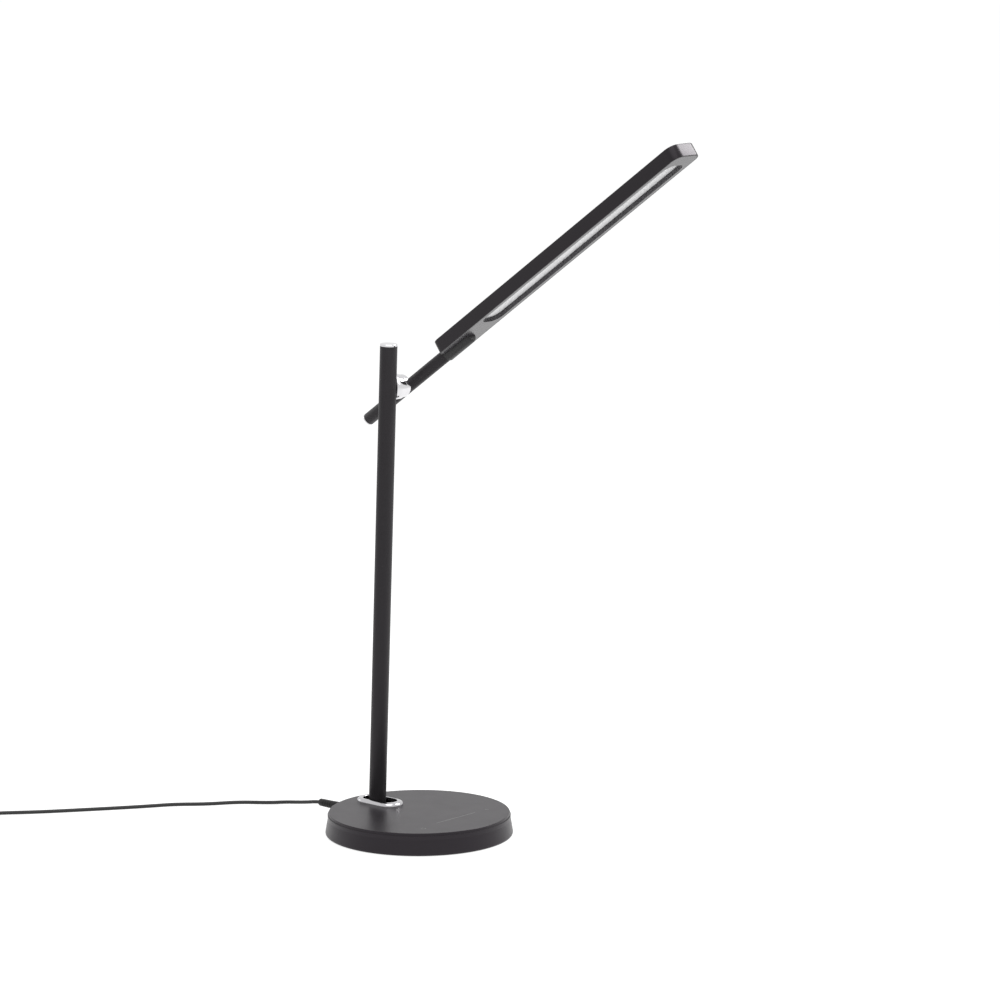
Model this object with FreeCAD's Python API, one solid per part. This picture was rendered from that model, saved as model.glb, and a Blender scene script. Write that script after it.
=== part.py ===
import FreeCAD, Part
import math
import os

# LED desk lamp, in millimetres. X points to the front, where the light head reaches, Z points up,
# and the origin is the middle of the foot pad's underside, on the desk.
Vec = FreeCAD.Vector

# General values
overrun = 1.0
fit_gap = 0.05
seat_gap = 0.1
edge_break = 0.3
level_match = 0.03

# Base cover
base_radius = 90.0
cover_taper = 3.7
base_height = 22.0
cover_rim_lift = 0.6
cover_wall = 2.5
cover_top = 2.5
cover_top_edge = 0.7
cover_bottom_edge = 2.4

# Foot pad, bottom plate and weight
foot_inset = 6.0
foot_thickness = 1.2
plate_thickness = 1.5
plate_side_gap = 0.7
weight_side_gap = 8.5
weight_thickness = 7.1
weight_hole_gap = 1.2
cover_screw_count = 3
cover_screw_inset = 18.0
cover_boss_radius = 4.0
screw_radius = 1.5
screw_head_radius = 2.8
screw_head_height = 1.1
cover_screw_bite = 6.0

# Post hinge in the base
pin_inset = 35.4
pin_height = 11.0
pin_radius = 3.0
pin_inner_end = 4.5
pin_head_radius = 4.4
pin_head_thickness = 1.2
eye_radius = 6.2
knuckle_width = 16.0
hinge_washer_thickness = 0.8
hinge_washer_radius = 5.8
cheek_thickness = 3.0
cheek_top_above_pin = 6.0
cheek_foot_height = 5.2
bracket_length = 34.0
bracket_floor = 1.4
bracket_screw_reach = 12.0
bracket_screw_side = 5.5
well_gap = 3.0

# Post
post_radius = 8.3
post_wall = 1.2
post_lean = 2.24
post_start = 7.0
post_top_height = 458.1
pivot_drop = 42.3
cap_rim = 2.0
cap_spigot = 8.0
spigot_length = 24.0

# Slot trim on the base
trim_shift = 4.0
trim_end_band = 6.3
trim_side_band = 4.0
trim_rise = 4.2
slot_length = 38.0
slot_side_gap = 0.9
trim_skirt_wall = 1.5
trim_edge = 3.2
trim_inner_edge = 0.5

# Friction joint between post and arm
drum_radius = 12.0
drum_start = 4.2
drum_thickness = 6.0
drum_edge = 0.5
drum_shoulder = 5.0
brake_washer_radius = 10.8
brake_washer_thickness = 0.8
hub_radius = 11.0
hub_neck = 4.9
saddle_depth = 0.8
arm_drop = 2.6
axle_radius = 3.0
axle_bite = 4.0
wire_bore = 1.5
insert_half_length = 12.0
insert_flat = 1.6
spring_washer_thickness = 0.6
spring_washer_radius = 4.5
axle_nut_radius = 4.7
axle_nut_thickness = 2.2
drum_screw_reach = 7.5
drum_screw_radius = 1.3
drum_screw_head = 2.3
drum_screw_head_height = 1.1
drum_screw_bite = 5.0

# Arm
arm_pitch = 35.5
arm_radius = 6.0
arm_wall = 1.0
arm_tail = 62.6
arm_front = 86.0
tail_cap_rim = 1.6
tail_cap_spigot = 7.0

# Swivel pod under the head
pod_wall = 0.95
pod_lead = 2.4
pod_bore_reach = 9.5
pod_nose = 3.5
pod_nose_edge = 3.0
swivel_plug_spigot = 12.0
swivel_collar = 4.6
groove_width = 2.4
groove_radius = 4.4
swivel_screw_radius = 1.25
swivel_screw_tip = 1.0
swivel_screw_top = 9.6
swivel_boss_radius = 2.6
swivel_boss_top = 8.6
pod_slot_half = 1.8
flange_half_width = 13.0
flange_start = 5.1
flange_length = 22.0
flange_thickness = 2.2
pod_screw_side = 10.4
pod_screw_inset = 4.0
pod_screw_radius = 1.0
pod_screw_head = 1.9
pod_screw_head_height = 1.0
pod_screw_bite = 5.0
pod_boss_radius = 2.2

# Light head
head_overlap = 20.6
head_drop = 0.9
head_length = 351.6
head_width = 36.0
head_thickness = 13.0
head_wall = 1.5
head_top_wall = 1.5
head_tip_radius = 9.9
head_rear_radius = 9.0
head_top_edge = 0.9
head_bottom_edge = 0.4
frame_thickness = 1.6
window_side_margin = 5.8
window_start = 59.1
window_tip_margin = 17.0
window_corner = 9.5
window_depth = 4.3
window_lip = 1.2
diffuser_margin = 2.0
diffuser_thickness = 2.0
light_board_thickness = 1.0
spreader_thickness = 0.8
board_margin = 1.7
led_count = 36
led_length = 3.5
led_width = 2.8
led_height = 0.7
led_end_margin = 14.0
light_box_wall = 1.6

# Control board and touch pads under the base top
touch_inset = 45.0
touch_end_margin = 6.0
touch_pad_count = 9
touch_pad_length = 8.0
touch_pad_width = 6.0
touch_pad_thickness = 3.0
board_width = 26.0
board_length = 108.0
board_thickness = 1.6
board_screw_side = 10.0
board_screw_end = 4.0
board_boss_radius = 2.6
board_screw_radius = 1.1
board_screw_head = 2.2
board_screw_head_height = 1.2
board_screw_bite = 2.4
chip_height = 1.4
chip_length = 12.0
chip_width = 9.0
chip_spacing = 24.0
chip_count = 3

# Power socket at the back of the base
jack_height = 10.0
jack_radius = 4.0
jack_flange_radius = 5.3
jack_flange_thickness = 1.2
jack_length = 15.0
jack_bore = 2.8
jack_bore_depth = 10.5
jack_recess = 1.8
jack_nut_thickness = 2.4
jack_nut_flats = 11.0
jack_pad_width = 14.0
jack_pad_height = 12.0
jack_pad_depth = 8.0
jack_channel_half = 8.0

# Plug of the power lead
plug_barrel_radius = 2.75
plug_barrel_bore = 1.05
plug_barrel_length = 9.5
plug_neck_radius = 3.3
plug_neck_length = 12.0
plug_shoulder = 2.0
plug_body_radius = 4.1
plug_tail_radius = 3.6
plug_length = 41.5
plug_edge = 0.8

# Inner leads
lead_radius = 1.1
lead_bend = 4.5
arm_lead_turn = 11.0
post_lead_clearance = 4.0

# Power lead, its route measured from the plug's end
bend_share = 0.45
cord_radius = 1.75
cord_lift = 0.05
cord_route = [
    Vec(0, 0, 10.0),
    Vec(-12.5, 0.0, 10.0),
    Vec(-26.0, 0.0, 5.8),
    Vec(-40.5, -3.6, 2.3),
    Vec(-60.0, -14.5, 1.8),
    Vec(-82.0, -33.0, 1.8),
    Vec(-100.0, -56.0, 1.8),
    Vec(-122.5, -79.0, 1.8),
    Vec(-137.0, -100.0, 1.8),
    Vec(-153.0, -122.0, 1.8),
    Vec(-176.5, -153.5, 1.8),
    Vec(-201.5, -184.5, 1.8),
    Vec(-224.5, -214.0, 2.6),
    Vec(-243.4, -239.2, 2.6),
]

# Put-away coil of the power lead
coil_heading = -126.87
coil_first_radius = 28.2
coil_pitch = 4.15
coil_layer_step = 4.1
coil_layer_quarters = 15
coil_reversal_quarters = 2
coil_top_quarters = 16
coil_end_run = 3.6
coil_sample_share = 0.001

# Tie round the coil
tie_width = 9.0
tie_thickness = 0.55
tie_gap = 0.25
tie_corner = 1.4
tie_quarter = 31

# Wall adapter at the end of the power lead
adapter_length = 70.0
adapter_width = 42.0
adapter_thickness = 27.0
adapter_edge = 5.0
adapter_rim_edge = 2.0
adapter_pin_radius = 2.0
adapter_pin_length = 19.0
adapter_pin_spacing = 18.6
adapter_pin_offset = 10.0
relief_length = 24.0
relief_root_radius = 4.6
relief_tip_radius = 2.5
tail_drop_run = 16.0
tail_floor_run = 20.0
tail_rise_run = 17.0
tail_level_run = 12.0
tail_sway = 3.0
relief_height = 9.0

# Values that follow from the sizes above
base_top_radius = base_radius - cover_taper
foot_radius = base_radius - foot_inset
cover_screw_circle = foot_radius - cover_screw_inset
plate_bottom = foot_thickness
plate_top = plate_bottom + plate_thickness
weight_top = plate_top + weight_thickness
cover_inside_top = base_height - cover_top
cover_inner_radius = base_radius - cover_wall
weight_radius = cover_inner_radius - weight_side_gap
pin_x = pin_inset - base_radius
pivot_height = post_top_height - pivot_drop
slot_width = 2 * (post_radius + slot_side_gap)
trim_center_x = pin_x + trim_shift
trim_length = slot_length + 2 * trim_end_band
trim_width = slot_width + 2 * trim_side_band
jack_face = base_radius - jack_recess
jack_pad_inner = base_radius - jack_pad_depth
plug_end = jack_face + plug_length
touch_x = base_radius - touch_inset
touch_reach = board_length / 2 - touch_end_margin
cord_points = [Vec(point.x - plug_end, point.y, point.z) for point in cord_route]
coil_height = cord_route[-1].z
post_inner_radius = post_radius - post_wall
drum_face = post_radius + drum_thickness
hub_start = drum_face + brake_washer_thickness
arm_offset = hub_start + hub_neck + arm_radius
arm_inner_radius = arm_radius - arm_wall
cheek_inner = knuckle_width / 2 + hinge_washer_thickness
cheek_outer = cheek_inner + cheek_thickness
head_start = arm_front - head_overlap
head_inner_top = head_thickness - head_top_wall
window_width = head_width - 2 * window_side_margin
window_end = head_length - window_tip_margin
board_top = cover_inside_top - touch_pad_thickness
board_bottom = board_top - board_thickness
pod_start = head_start - pod_lead
pod_radius = arm_radius + fit_gap + pod_wall
pod_bore_front = arm_front + pod_bore_reach
pod_front = pod_bore_front + pod_nose
flange_bottom = frame_thickness + seat_gap
flange_top = flange_bottom + flange_thickness

pin_point = Vec(pin_x, 0, pin_height)
lean_turn = FreeCAD.Rotation(Vec(0, 1, 0), post_lean)
pitch_turn = FreeCAD.Rotation(Vec(0, 1, 0), -arm_pitch)
pivot_point = pin_point + lean_turn.multVec(Vec(0, 0, pivot_height))


# Helpers that place and shape plain solids
def placed(shape, origin, turn):
    result = shape.copy()
    result.Placement = FreeCAD.Placement(origin, turn).multiply(shape.Placement)
    return result


def on_post(shape):
    return placed(shape, pin_point, lean_turn)


def on_post_pivot(shape):
    return placed(shape, pivot_point, lean_turn)


def on_arm_pivot(shape):
    return placed(shape, pivot_point, pitch_turn)


def on_arm(shape):
    origin = pivot_point + pitch_turn.multVec(Vec(0, arm_offset, -arm_drop))
    return placed(shape, origin, pitch_turn)


def lowered(shape):
    return placed(shape, Vec(0, 0, -head_drop), FreeCAD.Rotation())


def on_head(shape):
    return on_arm(lowered(shape))


def rod_z(radius, bottom, top, x=0.0, y=0.0):
    return Part.makeCylinder(radius, top - bottom, Vec(x, y, bottom), Vec(0, 0, 1))


def rod_y(radius, start, end, x=0.0, z=0.0):
    return Part.makeCylinder(radius, end - start, Vec(x, start, z), Vec(0, 1, 0))


def rod_x(radius, start, end, y=0.0, z=0.0):
    return Part.makeCylinder(radius, end - start, Vec(start, y, z), Vec(1, 0, 0))


def block(x_range, y_range, z_range):
    size = [high - low for low, high in (x_range, y_range, z_range)]
    return Part.makeBox(size[0], size[1], size[2], Vec(x_range[0], y_range[0], z_range[0]))


def obround(length, width, bottom, top, center_x):
    half_run = (length - width) / 2
    ends = [rod_z(width / 2, bottom, top, center_x + side * half_run) for side in (-1, 1)]
    middle = block((center_x - half_run, center_x + half_run), (-width / 2, width / 2), (bottom, top))
    return ends[0].fuse([ends[1], middle]).removeSplitter()


def hexagon(flats, start, end, y, z):
    corner = flats / math.sqrt(3)
    points = []
    for step in range(6):
        angle = math.radians(60 * step)
        points.append(Vec(start, y + corner * math.cos(angle), z + corner * math.sin(angle)))
    points.append(points[0])
    return Part.Face(Part.makePolygon(points)).extrude(Vec(end - start, 0, 0))


def edges_at(shape, height, axis="z"):
    found = []
    for edge in shape.Edges:
        box = edge.BoundBox
        low = {"x": box.XMin, "y": box.YMin, "z": box.ZMin}[axis]
        high = {"x": box.XMax, "y": box.YMax, "z": box.ZMax}[axis]
        if abs(low - height) < level_match and abs(high - height) < level_match:
            found.append(edge)
    return found


def rounded_outline(x_start, x_end, width, front_radius, rear_radius, height):
    half = width / 2
    corners = [
        (x_end - front_radius, half - front_radius, front_radius, 0),
        (x_start + rear_radius, half - rear_radius, rear_radius, 90),
        (x_start + rear_radius, -half + rear_radius, rear_radius, 180),
        (x_end - front_radius, -half + front_radius, front_radius, 270),
    ]
    arcs = []
    for x, y, radius, first in corners:
        points = []
        for part in (0, 45, 90):
            angle = math.radians(first + part)
            points.append(Vec(x + radius * math.cos(angle), y + radius * math.sin(angle), height))
        arcs.append(Part.Arc(points[0], points[1], points[2]).toShape())
    edges = []
    for arc, following in zip(arcs, arcs[1:] + arcs[:1]):
        edges.append(arc)
        edges.append(Part.LineSegment(arc.Vertexes[-1].Point, following.Vertexes[0].Point).toShape())
    return Part.Wire(edges)


def rounded_plate(x_start, x_end, width, front_radius, rear_radius, bottom, top):
    outline = rounded_outline(x_start, x_end, width, front_radius, rear_radius, bottom)
    return Part.Face(outline).extrude(Vec(0, 0, top - bottom))


def tangent_path(points):
    edges = []
    radii = []
    last = points[0]
    for before, here, after in zip(points, points[1:], points[2:]):
        arriving = here - before
        leaving = after - here
        turn = arriving.getAngle(leaving)
        setback = bend_share * min(arriving.Length, leaving.Length)
        first = here - arriving.normalize() * setback
        final = here + leaving.normalize() * setback
        chord_middle = (first + final) / 2
        middle = here + (chord_middle - here) / (1 + math.cos(turn / 2))
        edges.append(Part.LineSegment(last, first).toShape())
        edges.append(Part.Arc(first, middle, final).toShape())
        radii.append(setback / math.tan(turn / 2))
        last = final
    edges.append(Part.LineSegment(last, points[-1]).toShape())
    return Part.Wire(edges), radii


def tube_along(path, radius):
    start = path.Vertexes[0].Point
    heading = path.Edges[0].tangentAt(path.Edges[0].FirstParameter)
    ring = Part.Wire(Part.makeCircle(radius, start, heading))
    return path.makePipeShell([ring], True, False)


def lead(points):
    path, radii = tangent_path(points)
    return tube_along(path, lead_radius)


# Base
def cover_boss_places():
    places = []
    for step in range(cover_screw_count):
        angle = math.radians(360 * step / cover_screw_count)
        places.append((cover_screw_circle * math.cos(angle), cover_screw_circle * math.sin(angle)))
    return places


def board_screw_places():
    end = board_length / 2 - board_screw_end
    return [(touch_x + side * board_screw_side, way * end) for side in (-1, 1) for way in (-1, 1)]


def base_cover():
    height = base_height - cover_rim_lift
    outer = Part.makeCone(base_radius, base_top_radius, height, Vec(0, 0, cover_rim_lift))
    outer = outer.makeFillet(cover_top_edge, edges_at(outer, base_height))
    outer = outer.makeFillet(cover_bottom_edge, edges_at(outer, cover_rim_lift))
    inside_height = cover_inside_top - cover_rim_lift + overrun
    inside = Part.makeCone(
        cover_inner_radius, base_top_radius - cover_wall, inside_height, Vec(0, 0, cover_rim_lift - overrun)
    )
    shell = outer.cut(inside)
    bosses = [rod_z(cover_boss_radius, plate_top, cover_inside_top, x, y) for x, y in cover_boss_places()]
    bosses += [rod_z(board_boss_radius, board_top, cover_inside_top, x, y) for x, y in board_screw_places()]
    pad = block(
        (-base_radius, -jack_pad_inner),
        (-jack_pad_width / 2, jack_pad_width / 2),
        (jack_height - jack_pad_height / 2, jack_height + jack_pad_height / 2),
    )
    shell = shell.fuse(bosses + [pad.common(outer)])
    cuts = [
        rod_z(screw_radius, plate_top - overrun, plate_top + cover_screw_bite, x, y)
        for x, y in cover_boss_places()
    ]
    cuts += [
        rod_z(board_screw_radius, board_top - overrun, board_top + board_screw_bite, x, y)
        for x, y in board_screw_places()
    ]
    low = cover_inside_top - overrun
    high = base_height + overrun
    skirt = 2 * (trim_skirt_wall + seat_gap)
    cuts.append(obround(slot_length + skirt, slot_width + skirt, low, high, trim_center_x))
    flange_seat = jack_face - jack_flange_thickness
    inner = -jack_pad_inner + overrun
    outer_end = -base_radius - overrun
    cuts.append(rod_x(jack_radius + fit_gap, outer_end, inner, 0, jack_height))
    cuts.append(rod_x(jack_flange_radius + seat_gap, outer_end, -flange_seat, 0, jack_height))
    return shell.cut(cuts)


def base_bottom_plate():
    plate = rod_z(cover_inner_radius - plate_side_gap, plate_bottom, plate_top)
    cuts = []
    low = plate_bottom - overrun
    head_top = plate_bottom + screw_head_height
    for x, y in cover_boss_places() + bracket_screw_places():
        cuts.append(rod_z(screw_radius + seat_gap, low, plate_top + overrun, x, y))
        cuts.append(rod_z(screw_head_radius + seat_gap, low, head_top, x, y))
    return plate.cut(cuts)


def foot_pad():
    pad = rod_z(foot_radius, 0, foot_thickness)
    return pad.makeFillet(edge_break, edges_at(pad, 0))


def flat_screw(x, y, bite_top):
    head = rod_z(screw_head_radius, plate_bottom, plate_bottom + screw_head_height, x, y)
    return head.fuse(rod_z(screw_radius, plate_bottom, bite_top, x, y)).removeSplitter()


def cover_screws():
    tip = plate_top + cover_screw_bite
    return Part.makeCompound([flat_screw(x, y, tip) for x, y in cover_boss_places()])


def base_weight():
    disc = rod_z(weight_radius, plate_top, weight_top)
    disc = disc.makeChamfer(edge_break, edges_at(disc, weight_top))
    low = plate_top - overrun
    high = weight_top + overrun
    side = cheek_outer + pin_head_thickness + well_gap
    reach = bracket_length / 2 + well_gap
    cuts = [block((pin_x - reach, pin_x + reach), (-side, side), (low, high))]
    cuts.append(block((-base_radius, pin_x), (-jack_channel_half, jack_channel_half), (low, high)))
    for x, y in cover_boss_places():
        cuts.append(rod_z(cover_boss_radius + weight_hole_gap, low, high, x, y))
    return disc.cut(cuts)


def slot_trim():
    top = base_height + trim_rise
    ring = obround(trim_length, trim_width, base_height, top, trim_center_x)
    ring = ring.makeFillet(trim_edge, edges_at(ring, top))
    skirt = 2 * trim_skirt_wall
    skirt_top = base_height + trim_edge
    ring = ring.fuse(
        obround(slot_length + skirt, slot_width + skirt, cover_inside_top, skirt_top, trim_center_x)
    )
    low = cover_inside_top - overrun
    ring = ring.cut(obround(slot_length, slot_width, low, top + overrun, trim_center_x))
    inner = [e for e in edges_at(ring, top) if e.BoundBox.YLength <= slot_width + edge_break]
    return ring.makeFillet(trim_inner_edge, inner)


# Post hinge
def bracket_screw_places():
    return [
        (pin_x + side * bracket_screw_reach, way * bracket_screw_side)
        for side in (-1, 1)
        for way in (-1, 1)
    ]


def hinge_bracket():
    whole_run = (pin_x - bracket_length / 2, pin_x + bracket_length / 2)
    crown_run = (pin_x - eye_radius, pin_x + eye_radius)
    floor_top = plate_top + bracket_floor
    foot_top = plate_top + cheek_foot_height
    crown_top = pin_height + cheek_top_above_pin
    floor = block(whole_run, (-cheek_outer, cheek_outer), (plate_top, floor_top))
    cheeks = []
    for low in (-cheek_outer, cheek_inner):
        wall = (low, low + cheek_thickness)
        cheeks.append(block(whole_run, wall, (plate_top, foot_top)))
        cheeks.append(block(crown_run, wall, (foot_top, crown_top)))
    bracket = floor.fuse(cheeks).removeSplitter()
    cuts = [rod_y(pin_radius, -cheek_outer - overrun, cheek_outer + overrun, pin_x, pin_height)]
    for x, y in bracket_screw_places():
        cuts.append(rod_z(screw_radius, plate_top - overrun, floor_top + overrun, x, y))
    return bracket.cut(cuts)


def bracket_screws():
    top = plate_top + bracket_floor
    return Part.makeCompound([flat_screw(x, y, top) for x, y in bracket_screw_places()])


def hinge_pins():
    pins = []
    for way in (-1, 1):
        low, high = sorted((way * pin_inner_end, way * cheek_outer))
        shaft = rod_y(pin_radius, low, high, pin_x, pin_height)
        low, high = sorted((way * cheek_outer, way * (cheek_outer + pin_head_thickness)))
        pin = shaft.fuse(rod_y(pin_head_radius, low, high, pin_x, pin_height)).removeSplitter()
        reach = cheek_outer + pin_head_thickness + overrun
        pins.append(pin.cut(rod_y(wire_bore, -reach, reach, pin_x, pin_height)))
    return Part.makeCompound(pins)


def hinge_washers():
    washers = []
    for way in (-1, 1):
        low, high = sorted((way * knuckle_width / 2, way * cheek_inner))
        disc = rod_y(hinge_washer_radius, low, high, pin_x, pin_height)
        hole = rod_y(pin_radius + fit_gap, low - overrun, high + overrun, pin_x, pin_height)
        washers.append(disc.cut(hole))
    return Part.makeCompound(washers)


def post_knuckle():
    eye = rod_y(eye_radius, -knuckle_width / 2, knuckle_width / 2)
    spigot = rod_z(post_inner_radius - fit_gap, 0, post_start + spigot_length)
    body = eye.fuse(spigot).removeSplitter()
    side = knuckle_width / 2 + overrun
    cuts = [rod_y(pin_radius + fit_gap, -side, -pin_inner_end + seat_gap)]
    cuts.append(rod_y(pin_radius + fit_gap, pin_inner_end - seat_gap, side))
    cuts.append(rod_z(wire_bore, -wire_bore, post_start + spigot_length + overrun))
    cuts.append(rod_y(wire_bore, 0, pin_inner_end))
    return on_post(body.cut(cuts))


# Post
def post_tube():
    tube = rod_z(post_radius, post_start, post_top_height - cap_rim)
    hollow = rod_z(post_inner_radius, post_start - overrun, post_top_height)
    holes = [rod_y(axle_radius + seat_gap, 0, post_radius + overrun, 0, pivot_height)]
    for side in (-1, 1):
        height = pivot_height + side * drum_screw_reach
        holes.append(rod_y(drum_screw_radius + seat_gap, 0, post_radius + overrun, 0, height))
    return on_post(tube.cut([hollow] + holes))


def post_cap():
    rim = rod_z(post_radius, post_top_height - cap_rim, post_top_height)
    rim = rim.makeFillet(edge_break, edges_at(rim, post_top_height))
    low = post_top_height - cap_rim - cap_spigot
    spigot = rod_z(post_inner_radius - fit_gap, low, post_top_height - cap_rim)
    return on_post(rim.fuse(spigot).removeSplitter())


def post_insert():
    body = rod_z(post_inner_radius - fit_gap, -insert_half_length, insert_half_length)
    reach = post_radius + overrun
    ends = insert_half_length + overrun
    cuts = [block((-reach, reach), (-reach, -insert_flat), (-ends, ends))]
    cuts.append(rod_y(axle_radius + fit_gap, -reach, reach))
    for side in (-1, 1):
        depth = post_inner_radius - drum_screw_bite
        cuts.append(rod_y(drum_screw_radius, depth, reach, 0, side * drum_screw_reach))
    return on_post_pivot(body.cut(cuts))


# Friction joint, along the pivot line
def joint_drum():
    drum = rod_y(drum_radius, drum_start, drum_face)
    drum = drum.makeFillet(drum_edge, edges_at(drum, drum_face, "y"))
    drum = drum.makeFillet(drum_shoulder, edges_at(drum, drum_start, "y"))
    cuts = [rod_z(post_radius, -drum_radius - overrun, drum_radius + overrun)]
    cuts.append(rod_y(axle_radius + fit_gap, -overrun, drum_face + overrun))
    seat = drum_face - seat_gap - drum_screw_head_height
    for side in (-1, 1):
        height = side * drum_screw_reach
        cuts.append(rod_y(drum_screw_radius, 0, drum_face + overrun, 0, height))
        cuts.append(rod_y(drum_screw_head + seat_gap, seat, drum_face + overrun, 0, height))
    return on_post_pivot(drum.cut(cuts))


def drum_screws():
    screws = []
    for side in (-1, 1):
        height = side * drum_screw_reach
        top = drum_face - seat_gap
        head = rod_y(drum_screw_head, top - drum_screw_head_height, top, 0, height)
        start = post_inner_radius - drum_screw_bite
        screws.append(head.fuse(rod_y(drum_screw_radius, start, top, 0, height)).removeSplitter())
    return on_post_pivot(Part.makeCompound(screws))


def ring_y(outer, inner, start, end):
    return rod_y(outer, start, end).cut(rod_y(inner, start - overrun, end + overrun))


def brake_washer():
    return on_post_pivot(ring_y(brake_washer_radius, axle_radius + fit_gap, drum_face, hub_start))


def joint_hub():
    end = arm_offset - arm_radius + saddle_depth
    hub = rod_y(hub_radius, hub_start, end)
    hub = hub.makeFillet(drum_edge, edges_at(hub, hub_start, "y") + edges_at(hub, end, "y"))
    reach = hub_radius + overrun
    cuts = [rod_x(arm_radius, -reach, reach, arm_offset, -arm_drop)]
    cuts.append(rod_y(axle_radius, hub_start - overrun, hub_start + axle_bite))
    cuts.append(rod_y(wire_bore, hub_start, end + overrun))
    return on_arm_pivot(hub.cut(cuts))


def joint_axle():
    start = -insert_flat - spring_washer_thickness - axle_nut_thickness
    return on_arm_pivot(ring_y(axle_radius, wire_bore, start, hub_start + axle_bite))


def spring_washer():
    start = -insert_flat - spring_washer_thickness
    return on_arm_pivot(ring_y(spring_washer_radius, axle_radius, start, -insert_flat))


def axle_nut():
    end = -insert_flat - spring_washer_thickness
    return on_arm_pivot(ring_y(axle_nut_radius, axle_radius, end - axle_nut_thickness, end))


# Arm, on its own line
def arm_tube():
    tube = rod_x(arm_radius, -arm_tail + tail_cap_rim, arm_front)
    hollow = rod_x(arm_inner_radius, -arm_tail, arm_front + overrun)
    wire_hole = rod_y(wire_bore, -arm_radius - overrun, 0, 0, arm_drop)
    return on_arm(tube.cut([hollow, wire_hole]))


def arm_end_cap():
    start = -arm_tail
    rim = rod_x(arm_radius, start, start + tail_cap_rim)
    rim = rim.makeFillet(edge_break, edges_at(rim, start, "x"))
    spigot = rod_x(arm_inner_radius - fit_gap, start + tail_cap_rim, start + tail_cap_rim + tail_cap_spigot)
    return on_arm(rim.fuse(spigot).removeSplitter())


def swivel_plug():
    spigot = rod_x(arm_inner_radius - fit_gap, arm_front - swivel_plug_spigot, arm_front)
    collar = rod_x(arm_radius, arm_front, arm_front + swivel_collar)
    body = spigot.fuse(collar).removeSplitter()
    groove_start = arm_front + (swivel_collar - groove_width) / 2
    groove = rod_x(arm_radius + overrun, groove_start, groove_start + groove_width)
    core = rod_x(groove_radius, groove_start - overrun, groove_start + groove_width + overrun)
    bore = rod_x(wire_bore, arm_front - swivel_plug_spigot - overrun, arm_front + swivel_collar + overrun)
    return on_arm(body.cut([groove.cut(core), bore]))


# Head, on the arm's line: the arm's middle lies just above the head's underside
def swivel_screw_x():
    return arm_front + swivel_collar / 2


def pod_screw_places():
    start = head_start + flange_start + pod_screw_inset
    end = head_start + flange_start + flange_length - pod_screw_inset
    return [(x, side * pod_screw_side) for x in (start, end) for side in (-1, 1)]


def swivel_pod():
    pod = rod_x(pod_radius, pod_start, pod_front)
    pod = pod.makeFillet(pod_nose_edge, edges_at(pod, pod_front, "x"))
    flange_from = head_start + flange_start
    flange = block(
        (flange_from, flange_from + flange_length),
        (-flange_half_width, flange_half_width),
        (flange_bottom, flange_top),
    )
    boss = rod_z(swivel_boss_radius, 0, swivel_boss_top, swivel_screw_x())
    body = pod.fuse([lowered(flange), boss])
    cuts = [rod_x(arm_radius + fit_gap, pod_start - overrun, pod_bore_front)]
    cuts.append(rod_z(swivel_screw_radius, 0, swivel_boss_top + overrun, swivel_screw_x()))
    slot_run = (arm_front + swivel_collar, pod_bore_front)
    cuts.append(block(slot_run, (-pod_slot_half, pod_slot_half), (0, pod_radius + overrun)))
    low = flange_bottom - overrun
    head_top = flange_bottom + pod_screw_head_height
    for x, y in pod_screw_places():
        cuts.append(lowered(rod_z(pod_screw_radius + seat_gap, low, flange_top + overrun, x, y)))
        cuts.append(lowered(rod_z(pod_screw_head + seat_gap, low, head_top, x, y)))
    return on_arm(body.cut(cuts))


def swivel_screw():
    x = swivel_screw_x()
    tip_end = groove_radius + edge_break
    thread = rod_z(swivel_screw_radius, arm_radius, swivel_screw_top, x)
    tip = rod_z(swivel_screw_tip, tip_end, arm_radius, x)
    return on_arm(thread.fuse(tip).removeSplitter())


def pod_screws():
    screws = []
    for x, y in pod_screw_places():
        head = rod_z(pod_screw_head, flange_bottom, flange_bottom + pod_screw_head_height, x, y)
        shaft = rod_z(pod_screw_radius, flange_bottom, flange_top + pod_screw_bite, x, y)
        screws.append(head.fuse(shaft).removeSplitter())
    return on_head(Part.makeCompound(screws))


def head_housing():
    end = head_start + head_length
    outer = rounded_plate(head_start, end, head_width, head_tip_radius, head_rear_radius, 0, head_thickness)
    outer = outer.makeFillet(head_top_edge, edges_at(outer, head_thickness))
    outer = outer.makeFillet(head_bottom_edge, edges_at(outer, 0))
    inside = rounded_plate(
        head_start + head_wall, end - head_wall, head_width - 2 * head_wall,
        head_tip_radius - head_wall, head_rear_radius - head_wall, -overrun, head_inner_top,
    )
    shell = outer.cut(inside)
    bosses = [rod_z(pod_boss_radius, flange_top, head_inner_top, x, y) for x, y in pod_screw_places()]
    shell = shell.fuse(bosses)
    cuts = [
        rod_z(pod_screw_radius, flange_top - overrun, flange_top + pod_screw_bite, x, y)
        for x, y in pod_screw_places()
    ]
    wall_end = head_start + head_wall + overrun
    cuts.append(rod_x(pod_radius + seat_gap, head_start - overrun, wall_end, 0, head_drop))
    return on_head(shell.cut(cuts))


def window_plate(margin, bottom, top):
    return rounded_plate(
        head_start + window_start - margin, head_start + window_end + margin, window_width + 2 * margin,
        window_corner + margin, window_corner + margin, bottom, top,
    )


def head_frame():
    inset = head_wall + seat_gap
    plate = rounded_plate(
        head_start + inset, head_start + head_length - inset, head_width - 2 * inset,
        head_tip_radius - inset, head_rear_radius - inset, 0, frame_thickness,
    )
    collar = window_plate(window_lip, frame_thickness, window_depth)
    body = plate.fuse(collar).removeSplitter()
    side = pod_radius + seat_gap
    through = (-overrun, frame_thickness + overrun)
    pod_way = block((head_start, pod_front + seat_gap), (-side, side), through)
    body = body.cut([window_plate(0, -overrun, window_depth + overrun), pod_way])
    return on_head(body)


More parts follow.
